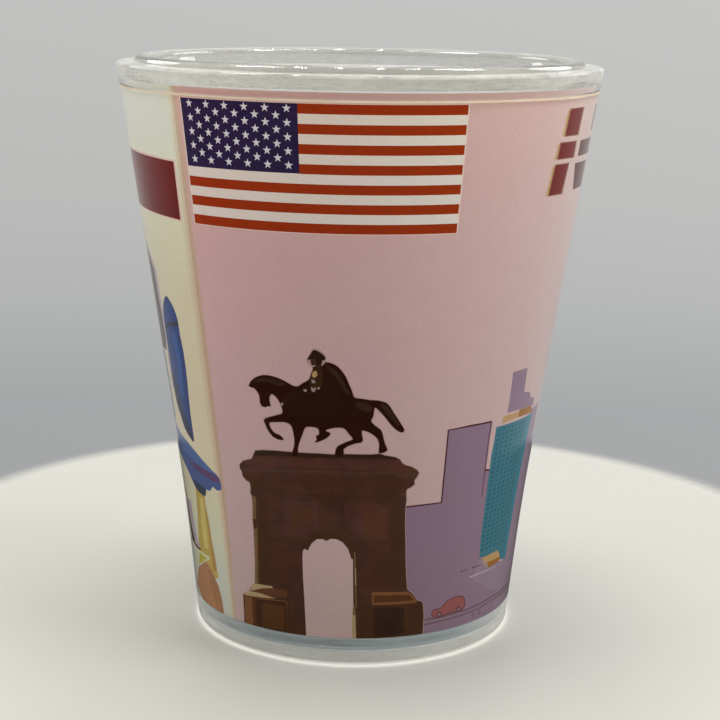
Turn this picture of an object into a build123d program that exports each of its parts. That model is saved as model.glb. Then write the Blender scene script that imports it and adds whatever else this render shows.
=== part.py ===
from build123d import *
import os
from math import atan, hypot, radians, cos, sin

os.makedirs("parts", exist_ok=True)

# Souvenir shot glass, double-walled clear plastic with a printed paper sheet
# sealed between the walls.  Three separate pieces: the outer shell with its
# foot, the inner cup with its rim ring, and the printed insert.
# Frame: origin at the centre of the base plane, +Z up along the axis of
# revolution, the side that carries the main picture faces -Y.  Millimetres.

# ---------------------------------------------------------------- dimensions
HEIGHT = 60.0            # base plane to the crown of the lip
R_FOOT = 16.83           # outer wall radius produced down to the base plane
R_WAIST = 18.35          # outer wall radius where the taper changes
Z_WAIST = 14.50          # height of that change, a long soft bend
WAIST_ROUND = 290.0      # radius of the bend
R_RING = 24.99           # rim ring at the ledge, before its edge is rounded
Z_LEDGE = 59.33          # ledge around the raised lip
FOOT_FILLET = 0.45       # rounding of the standing edge

WALL_OUTER = 0.50        # outer shell wall, thin-wall moulding
Z_JOINT = 57.00          # parting line between outer shell and rim ring
TONGUE_H = 0.25          # locating tongue on the shell's top edge
TONGUE_T = 0.24          # tongue thickness, inner half of the wall
GROOVE_H = 0.30          # step in the ring that takes the tongue

Z_RECESS = 1.70          # underside of the floor, inside the foot ring
Z_FLOOR = 3.20           # top of the outer shell's floor
R_RECESS = 14.90         # inside radius of the foot ring
GATE_R = 2.2             # shallow gate dimple under the floor
GATE_D = 0.25

R_LIP_OUT = 23.10        # raised lip, outside
R_LIP_IN = 21.55         # raised lip, inside, at the ledge height
LINER_WALL = 1.15        # wall of the drinking cup
Z_CUP_FLOOR = 8.00       # inside floor of the drinking cup
CUP_FLOOR_T = 1.50
CUP_CORNER = 2.2         # inside corner radius of the cup floor
Z_RING_UNDER = 57.95     # underside of the solid part of the rim ring

PAPER_T = 0.20           # printed sheet
PAPER_GAP = 0.06         # air between the sheet and the outer wall
Z_PAPER_TOP = 57.80
SEAM_DEG = 12.0          # width of the glued overlap, at the back
SEAM_AT = 90.0           # seam centre, +Y

K = (R_RING - R_WAIST) / (Z_LEDGE - Z_WAIST)    # radius gained per mm of height
K_FOOT = (R_WAIST - R_FOOT) / Z_WAIST           # the same below the waist


def cone_r(z):
    """outer wall radius at height z, the bend left sharp"""
    return R_WAIST + (K if z > Z_WAIST else K_FOOT) * (z - Z_WAIST)


def cup_r(z):
    """inside radius of the drinking cup at height z"""
    return R_LIP_IN + K * (z - Z_LEDGE)


def profile(points):
    """closed face in the XZ plane from (r, z, fillet radius) corners"""
    n = len(points)
    cut = []
    for i, (x, z, r) in enumerate(points):
        if r <= 0:
            cut.append(((x, z), None, (x, z)))
            continue
        ax, az, _ = points[i - 1]
        bx, bz, _ = points[(i + 1) % n]
        la, lb = hypot(ax - x, az - z), hypot(bx - x, bz - z)
        ua = ((ax - x) / la, (az - z) / la)
        ub = ((bx - x) / lb, (bz - z) / lb)
        dot = ua[0] * ub[0] + ua[1] * ub[1]
        half = ((1 + dot) / 2) ** 0.5            # cos of half the corner angle
        sinh = (1 - half * half) ** 0.5
        t = r * half / sinh                      # corner to tangent point
        m = (ua[0] + ub[0], ua[1] + ub[1])
        lm = hypot(*m)
        m = (m[0] / lm, m[1] / lm)
        d = r / sinh - r                         # corner to arc, on the bisector
        cut.append(((x + ua[0] * t, z + ua[1] * t),
                    (x + m[0] * d, z + m[1] * d),
                    (x + ub[0] * t, z + ub[1] * t)))
    edges = []
    for i in range(n):
        a, mid, b = cut[i]
        if mid is not None:
            edges.append(ThreePointArc((a[0], 0, a[1]), (mid[0], 0, mid[1]), (b[0], 0, b[1])))
        c = cut[(i + 1) % n][0]
        if hypot(c[0] - b[0], c[1] - b[1]) > 1e-6:
            edges.append(Line((b[0], 0, b[1]), (c[0], 0, c[1])))
    return make_face(Wire(edges))


# --------------------------------------------------------------- outer shell
# Tapered wall with a soft bend low down, floor, and a foot ring left standing
# by a shallow recess.
rj = cone_r(Z_JOINT)
shell = [
    (0.0, Z_RECESS + GATE_D, 0),
    (GATE_R - 0.3, Z_RECESS + GATE_D, 0),
    (GATE_R, Z_RECESS, 0),
    (R_RECESS + 0.25, Z_RECESS, 0.35),
    (R_RECESS, 0.0, 0.25),
    (cone_r(0.0), 0.0, FOOT_FILLET),
    (R_WAIST, Z_WAIST, WAIST_ROUND),
    (rj, Z_JOINT, 0),
    (rj - (WALL_OUTER - TONGUE_T), Z_JOINT, 0),
    (cone_r(Z_JOINT + TONGUE_H) - (WALL_OUTER - TONGUE_T), Z_JOINT + TONGUE_H, 0),
    (cone_r(Z_JOINT + TONGUE_H) - WALL_OUTER, Z_JOINT + TONGUE_H, 0),
    (R_WAIST - WALL_OUTER, Z_WAIST, WAIST_ROUND),
    (cone_r(Z_FLOOR) - WALL_OUTER, Z_FLOOR, 0),
    (0.0, Z_FLOOR, 0),
]
outer_shell = revolve(profile(shell), Axis.Z, 360)

# ----------------------------------------------------------------- inner cup
# Drinking cup with a rounded raised lip; its ring turns down to a short skirt
# that is welded onto the outer shell's top edge.
skirt_in = WALL_OUTER
notch = WALL_OUTER - TONGUE_T - 0.02     # skirt width outside the tongue
cup = [
    (0.0, Z_CUP_FLOOR, 0),
    (cup_r(Z_CUP_FLOOR), Z_CUP_FLOOR, CUP_CORNER),
    (R_LIP_IN, Z_LEDGE, 3.0),
    (R_LIP_IN, HEIGHT, 0.72),
    (R_LIP_OUT, HEIGHT, 0.62),
    (R_LIP_OUT, Z_LEDGE, 0.03),
    (R_RING, Z_LEDGE, 0.30),
    (rj, Z_JOINT, 0),
    (rj - notch, Z_JOINT, 0),
    (cone_r(Z_JOINT + GROOVE_H) - notch, Z_JOINT + GROOVE_H, 0),
    (cone_r(Z_JOINT + GROOVE_H) - skirt_in, Z_JOINT + GROOVE_H, 0),
    (cone_r(Z_RING_UNDER) - skirt_in, Z_RING_UNDER, 0),
    (cup_r(Z_RING_UNDER) + LINER_WALL, Z_RING_UNDER, 0.35),
    (cup_r(Z_CUP_FLOOR - CUP_FLOOR_T) + LINER_WALL, Z_CUP_FLOOR - CUP_FLOOR_T, 1.8),
    (0.0, Z_CUP_FLOOR - CUP_FLOOR_T, 0),
]
inner_cup = revolve(profile(cup), Axis.Z, 360)

# ------------------------------------------------------------ printed insert
# One conical sheet standing on the shell's floor, close behind the outer
# wall, its ends lapped and glued at the back.
off = WALL_OUTER + PAPER_GAP
sheet = [
    (cone_r(Z_FLOOR) - off - PAPER_T, Z_FLOOR, 0),
    (cone_r(Z_FLOOR) - off, Z_FLOOR, 0),
    (R_WAIST - off, Z_WAIST, WAIST_ROUND),
    (cone_r(Z_PAPER_TOP) - off, Z_PAPER_TOP, 0),
    (cone_r(Z_PAPER_TOP) - off - PAPER_T, Z_PAPER_TOP, 0),
    (R_WAIST - off - PAPER_T, Z_WAIST, WAIST_ROUND),
]
lap = [(r - PAPER_T * 0.999, z, f) for r, z, f in sheet]
printed_insert = revolve(profile(sheet), Axis.Z, 360)
flap = revolve(profile(lap), Axis.Z, SEAM_DEG)
flap = Rot(0, 0, SEAM_AT - SEAM_DEG / 2) * flap
printed_insert = printed_insert + flap

for name, body in (("outer_shell", outer_shell),
                   ("inner_cup", inner_cup),
                   ("printed_insert", printed_insert)):
    solid = body.solids()[0] if len(body.solids()) == 1 else body
    solid.label = name
    export_step(solid, f"parts/{name}.step")
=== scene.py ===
import math

import bpy
import bmesh
import numpy as np
from mathutils import Matrix, Vector
from mathutils.geometry import delaunay_2d_cdt


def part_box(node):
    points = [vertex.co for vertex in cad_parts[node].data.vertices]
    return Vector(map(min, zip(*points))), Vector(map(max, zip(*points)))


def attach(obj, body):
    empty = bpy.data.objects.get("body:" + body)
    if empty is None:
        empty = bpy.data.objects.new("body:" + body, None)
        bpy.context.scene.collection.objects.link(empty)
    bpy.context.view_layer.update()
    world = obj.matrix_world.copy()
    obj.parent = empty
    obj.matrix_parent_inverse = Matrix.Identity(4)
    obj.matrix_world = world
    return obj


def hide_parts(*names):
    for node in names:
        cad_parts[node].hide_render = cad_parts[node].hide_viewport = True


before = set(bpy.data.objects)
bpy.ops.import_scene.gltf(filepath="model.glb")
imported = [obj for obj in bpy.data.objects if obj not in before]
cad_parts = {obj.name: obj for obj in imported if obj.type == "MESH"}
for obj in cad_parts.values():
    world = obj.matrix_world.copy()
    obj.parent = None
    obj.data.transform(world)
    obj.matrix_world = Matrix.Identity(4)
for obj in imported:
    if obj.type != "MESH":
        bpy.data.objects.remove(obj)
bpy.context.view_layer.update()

# Souvenir shot glass: clear outer shell, clear inner cup welded to it at the
# rim, and a printed sheet trapped between them.  Drawn in millimetres on the
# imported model's own sizes, and turned into metres by M.
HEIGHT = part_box("inner_cup")[1].z                 # crown of the lip
M = HEIGHT / 60.0                                 # metres to one drawn mm
SHEET_LO, SHEET_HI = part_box("printed_insert")
Z_SHEET0, Z_SHEET1 = SHEET_LO.z / M - 0.25, SHEET_HI.z / M
Z_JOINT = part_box("outer_shell")[1].z / M - 0.25   # parting line, under the tongue

R_FOOT, R_WAIST, Z_WAIST, R_RING, Z_LEDGE = 16.83, 18.35, 14.50, 24.99, 59.33
BEND, WALL, GAP, SHEET_T = 290.0, 0.50, 0.06, 0.20
BORE = WALL + 0.07                                # shell wall as far as the sheet clings to it
K_UP = (R_RING - R_WAIST) / (Z_LEDGE - Z_WAIST)
K_LOW = (R_WAIST - R_FOOT) / Z_WAIST
BEND_H = BEND * math.tan((math.atan(K_UP) - math.atan(K_LOW)) / 2)


def wall_r(z):
    """outer wall radius with the soft bend, z a number or an array"""
    z = np.asarray(z, float)
    lo, hi = R_WAIST + K_LOW * (z - Z_WAIST), R_WAIST + K_UP * (z - Z_WAIST)
    t = np.clip((z - (Z_WAIST - BEND_H)) / (2 * BEND_H), 0, 1)
    mid = R_WAIST - K_LOW * BEND_H + 2 * BEND_H * (K_LOW * t + (K_UP - K_LOW) * t * t / 2)
    return np.where(z < Z_WAIST - BEND_H, lo, np.where(z > Z_WAIST + BEND_H, hi, mid))


def wall_slope(z):
    z = np.asarray(z, float)
    t = np.clip((z - (Z_WAIST - BEND_H)) / (2 * BEND_H), 0, 1)
    return K_LOW + (K_UP - K_LOW) * t


def cup_r(z):
    return 21.55 + K_UP * (z - Z_LEDGE)


# ------------------------------------------------------------------- lathing
def soften(points, step=0.06):
    """(r, z, fillet) corners to a dense list of (r, z), arcs kept fine"""
    out, n = [], len(points)
    for i, (x, z, f) in enumerate(points):
        if f <= 0 or i in (0, n - 1):
            out.append((x, z))
            continue
        a, b, c = Vector(points[i - 1][:2]), Vector((x, z)), Vector(points[(i + 1) % n][:2])
        ua, ub = (a - b).normalized(), (c - b).normalized()
        half = math.acos(max(-1.0, min(1.0, ua.dot(ub)))) / 2
        t, d = f / math.tan(half), f / math.sin(half)
        centre = b + (ua + ub).normalized() * d
        p0, p1 = b + ua * t, b + ub * t
        sweep = math.pi - 2 * half
        k = max(4, min(28, int(math.ceil(max(sweep * f / step, sweep / math.radians(9))))))
        v0, v1 = p0 - centre, p1 - centre
        ang0 = math.atan2(v0.y, v0.x)
        turn = math.atan2(v0.x * v1.y - v0.y * v1.x, v0.dot(v1))
        for j in range(k + 1):
            w = ang0 + turn * j / k
            out.append((centre.x + f * math.cos(w), centre.y + f * math.sin(w)))
    dense = [out[0]]
    for p in out[1:]:                 # long straight runs get a few rings too
        q = dense[-1]
        run = math.hypot(p[0] - q[0], p[1] - q[1])
        for j in range(1, int(run // 4.0) + 1):
            w = j / (int(run // 4.0) + 1)
            dense.append((q[0] + (p[0] - q[0]) * w, q[1] + (p[1] - q[1]) * w))
        if run > 1e-6:
            dense.append(p)
    return dense


def link(mesh, name):
    ob = bpy.data.objects.new(name, mesh)
    bpy.context.scene.collection.objects.link(ob)
    return ob


def lathe(name, profile, segments, nudge=None):
    """closed solid of revolution from an open profile that starts and ends on
    the axis; nudge(r, z, azimuth) may move a point a little"""
    verts, rings = [], []
    for r, z in profile:
        if r < 1e-6:
            rings.append([len(verts)])
            verts.append((0.0, 0.0, z * M))
            continue
        ring = []
        for k in range(segments):
            a = 2 * math.pi * k / segments
            rr, zz = nudge(r, z, a) if nudge else (r, z)
            ring.append(len(verts))
            verts.append((rr * math.sin(a) * M, -rr * math.cos(a) * M, zz * M))
        rings.append(ring)
    faces = []
    for a, b in zip(rings, rings[1:]):
        for k in range(segments):
            j = (k + 1) % segments
            if len(a) == 1 and len(b) == 1:
                break
            if len(a) == 1:
                faces.append((a[0], b[k], b[j]))
            elif len(b) == 1:
                faces.append((a[k], b[0], a[j]))
            else:
                faces.append((a[k], b[k], b[j], a[j]))
    mesh = bpy.data.meshes.new(name)
    mesh.from_pydata(verts, [], faces)
    bm = bmesh.new()
    bm.from_mesh(mesh)
    bmesh.ops.recalc_face_normals(bm, faces=bm.faces)
    bm.to_mesh(mesh)
    bm.free()
    mesh.shade_smooth()
    mesh.set_sharp_from_angle(angle=math.radians(32))
    return link(mesh, name)


SEG = 384
JOINT_GAP = 0.075
rj = float(wall_r(Z_JOINT))

shell_profile = soften([
    (0.0, 1.95, 0), (1.75, 1.95, 0.12), (2.2, 1.70, 0.18),
    (15.15, 1.70, 0.35), (14.90, 0.0, 0.25), (R_FOOT, 0.0, 0.45),
    (R_WAIST, Z_WAIST, BEND), (rj - K_UP * JOINT_GAP, Z_JOINT - JOINT_GAP, 0.07),
    (rj - 0.26, Z_JOINT - JOINT_GAP, 0), (rj - 0.26, Z_JOINT + 0.20, 0.03),
    (rj - BORE, Z_JOINT + 0.20, 0.03),
    (R_WAIST - BORE, Z_WAIST, BEND), (float(wall_r(2.95)) - BORE, Z_SHEET0 - 0.03, 0.04),
    (0.0, Z_SHEET0 - 0.03, 0),
])
cup_profile = soften([
    (0.0, 8.0, 0), (cup_r(8.0), 8.0, 2.2), (21.55, Z_LEDGE, 3.0),
    (21.55, 60.0, 0.72), (23.10, 60.0, 0.62), (23.12, Z_LEDGE, 0.04),
    (R_RING, Z_LEDGE, 0.30), (rj + K_UP * JOINT_GAP, Z_JOINT + JOINT_GAP, 0.07),
    (rj - 0.235, Z_JOINT + JOINT_GAP, 0), (rj - 0.235, Z_JOINT + 0.27, 0),
    (rj - WALL + 0.03, Z_JOINT + 0.27, 0), (rj - WALL + 0.12, 57.95, 0),
    (cup_r(57.95) + 1.15, 57.95, 0.35), (cup_r(6.5) + 1.15, 6.5, 1.8), (0.0, 6.5, 0),
])


def hoop(name, section, segments):
    """closed ring from a closed (r, z) section"""
    n = len(section)
    verts = [(r * math.sin(2 * math.pi * k / segments) * M, -r * math.cos(2 * math.pi * k / segments) * M, z * M)
             for k in range(segments) for r, z in section]
    faces = [(k * n + i, k * n + (i + 1) % n, ((k + 1) % segments) * n + (i + 1) % n, ((k + 1) % segments) * n + i)
             for k in range(segments) for i in range(n)]
    mesh = bpy.data.meshes.new(name)
    mesh.from_pydata(verts, [], faces)
    bm = bmesh.new()
    bm.from_mesh(mesh)
    bmesh.ops.recalc_face_normals(bm, faces=bm.faces)
    bm.to_mesh(mesh)
    bm.free()
    mesh.shade_smooth()
    mesh.set_sharp_from_angle(angle=math.radians(32))
    return link(mesh, name)


def rim_mark(r, z, a):
    """the small upright weld mark across the front of the rim"""
    da = (a + math.pi) % (2 * math.pi) - math.pi - math.radians(9.9)
    w = math.exp(-(da / math.radians(0.42)) ** 2)
    if r > 22.6 and z > 58.6:
        if z > 59.45:
            return r + 0.10 * w, z - 0.05 * w
        return r + (0.07 * w if r > 24.6 else 0.0), z + 0.11 * w
    return r, z


shell = lathe("outer_shell_clear", shell_profile, SEG)
cup = lathe("inner_cup_clear", cup_profile, SEG, rim_mark)
# melted bead in the welded joint, just inside the outer surface
bead = [(0.006, 0.105), (0.02, 0.092), (0.04, 0.078), (0.07, 0.070), (0.16, 0.070)]
bead = [(rj - d, Z_JOINT + t) for d, t in bead] + [(rj - d, Z_JOINT - t) for d, t in reversed(bead)]
weld = hoop("weld_bead", bead, SEG)

# ------------------------------------------------------------ looks, levels
GAIN, GAIN_PAPER, BUMP = 1.0, 1.0, 0.02
TOWER = (46.9, 63.2, 10.6, 24.1, 0.0)
TABLE_A, TABLE_B = (0.74, 0.735, 0.685, 1), (0.765, 0.76, 0.71, 1)
WALL_LO, WALL_HI = -0.28, 0.02
WALL_RAMP = [(0.0, (166, 167, 168)), (0.133, (166, 168, 169)), (0.33, (181, 182, 182)),
             (0.52, (189, 189, 188)), (0.867, (195, 195, 194)), (1.0, (196, 196, 195))]
ROOM_UP, ROOM_DOWN = (0.43, 0.424, 0.408, 1), (0.774, 0.761, 0.722, 1)
TABLE_BOUNCE = (0.22, 0.215, 0.20, 1)
NEAR, MIRROR, CEILING = 0.10, 0.40, 1.6
LAMPS = [
    ("lamp_right", (0.42, -0.12, 0.26), (0, 0, 0.03), 0.30, 0.83, (1.0, 0.985, 0.96)),
    ("lamp_left", (-0.42, -0.06, 0.26), (0, 0, 0.03), 0.30, 0.32, (1.0, 0.985, 0.96)),
    ("lamp_top", (0.0, 0.08, 0.60), (0, 0, 0.03), 0.36, 1.44, (1.0, 0.99, 0.97)),
]
# turn of each small ceiling light, its width and power
GLINTS = [(-0.53, 0.020, 0.9), (-0.47, 0.016, 0.8), (-0.41, 0.010, 0.6), (-0.35, 0.012, 0.7), (-0.24, 0.014, 0.7),
          (-0.08, 0.014, 0.7), (0.085, 0.012, 0.7), (0.22, 0.016, 0.7), (0.35, 0.014, 0.7), (0.45, 0.018, 0.8),
          (0.52, 0.020, 0.9)]
GLINT_Y = 0.05
# height in mm, painted colour, how strongly the painted matte covers the plastic
# foot: the white bottom edge and the white line at 1.62 to 1.74 mm are painted highlights, the blue-grey band above
# them is painted shade of the dim recess seen through the floor
FOOT = [(0.0, (255, 255, 246), 0.9), (0.36, (250, 250, 240), 0.85), (0.52, (236, 237, 231), 0.66), (1.58, (229, 232, 228), 0.66),
        (1.62, (250, 255, 253), 1.0), (1.74, (250, 255, 253), 1.0), (1.78, (193, 206, 209), 0.85), (2.92, (190, 202, 205), 0.85), (3.08, (182, 188, 188), 0.0)]
# painted glow on the shell's lowest edge: full at the first height, gone at the second (mm), emitted colour
FOOT_PAINTED_GLOW = (0.30, 0.46, (0.63, 0.62, 0.56, 1))
# rim: pale matte over the thick ring, brightest at the ledge corner, is painted light
RIM = [(57.80, (246, 246, 237), 0.0), (58.00, (246, 246, 237), 0.33), (58.95, (247, 247, 239), 0.34), (59.10, (252, 252, 246), 0.6),
       (59.30, (252, 252, 246), 0.42), (59.45, (243, 243, 235), 0.20), (60.1, (247, 247, 240), 0.20)]
# weld bead: white of its painted highlight, tint of the clear part, how much of it is white
WELD = [(255, 238, 214), (250, 246, 240), 0.72]
# painted light on the table: an emission ring round the foot (radius in mm, strength), then the strength of a faint
# emission patch in front of the glass
TABLE_PAINTED_GLOW = [(15.0, 0.0), (16.2, 0.30), (16.90, 0.30), (17.12, 0.12), (17.5, 0.03), (18.6, 0.0)]
TABLE_PAINTED_PATCH = 0.055
WINDOWS = [("window_left", (-0.60, 0.42, 0.32), (0, 0, 0.06), 0.40, 2.0), ("window_right", (0.60, 0.36, 0.34), (0, 0, 0.06), 0.46, 2.6)]

# -------------------------------------------------------------- the picture
# The sheet unrolled: x is the azimuth in degrees (0 at the front, + to the
# right, 180 at the back), y the height in mm.  Flat shapes, later ones on top.
FLAG_L, FLAG_R, FLAG_T, STRIPE = -43.55, 24.2, 56.74, 0.9217
CANTON_R = -13.4


def rect(x0, x1, y0, y1):
    return [(x0, y0), (x1, y0), (x1, y1), (x0, y1)]


def star(cx, cy, r, turn=0.0, points=5, inner=0.40):
    out = []
    for k in range(points * 2):
        a = math.pi / 2 + turn + math.pi * k / points
        q = r if k % 2 == 0 else r * inner
        rr = float(wall_r(cy)) - WALL - GAP
        out.append((cx + math.degrees(q * math.cos(a) / rr), cy + q * math.sin(a)))
    return out


SHAPES = []


def put(ink, outline):
    SHAPES.append((ink, outline))


put("pink", rect(-180, 180, 3.0, 58.0))
# left-hand panel and the soft tan fold between the two pictures
put("cream", rect(-180, -48.6, 3.0, 58.0))
put("tan1", rect(-48.9, -47.6, 3.0, 58.0))
put("tan2", rect(-47.6, -46.4, 3.0, 58.0))
put("tan3", rect(-46.4, -45.3, 3.0, 58.0))
put("tan4", rect(-45.3, -44.6, 3.0, 58.0))
# flag
put("flag_rim", rect(FLAG_L - 0.35, FLAG_R + 0.3, FLAG_T - 13 * STRIPE - 0.07, FLAG_T + 0.05))
put("flag_white", rect(FLAG_L, FLAG_R, FLAG_T - 13 * STRIPE, FLAG_T))
for i in range(0, 13, 2):
    left = CANTON_R if i < 7 else FLAG_L
    put("flag_red", rect(left, FLAG_R, FLAG_T - (i + 1) * STRIPE, FLAG_T - i * STRIPE))
put("canton", rect(FLAG_L, CANTON_R, FLAG_T - 7 * STRIPE + 0.03, FLAG_T))
for row in range(9):
    for col in range(6 if row % 2 == 0 else 5):
        put("star", star(-40.95 + 5.02 * (col + 0.5 * (row % 2)), 56.26 - 0.652 * row, 0.435))


def windows(ink, x0, x1, y0, y1, nx, ny, w, h, slope):
    for j in range(ny):
        for i in range(nx):
            cx = x0 + (x1 - x0) * (i + 0.5) / nx
            cy = y0 + (y1 - y0) * (j + 0.5) / ny + slope * (cx - x0)
            put(ink, [(cx - w, cy - h - slope * w * 0.6), (cx + w, cy - h + slope * w * 0.6),
                      (cx + w, cy + h + slope * w * 0.6), (cx - w, cy + h - slope * w * 0.6)])


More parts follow.
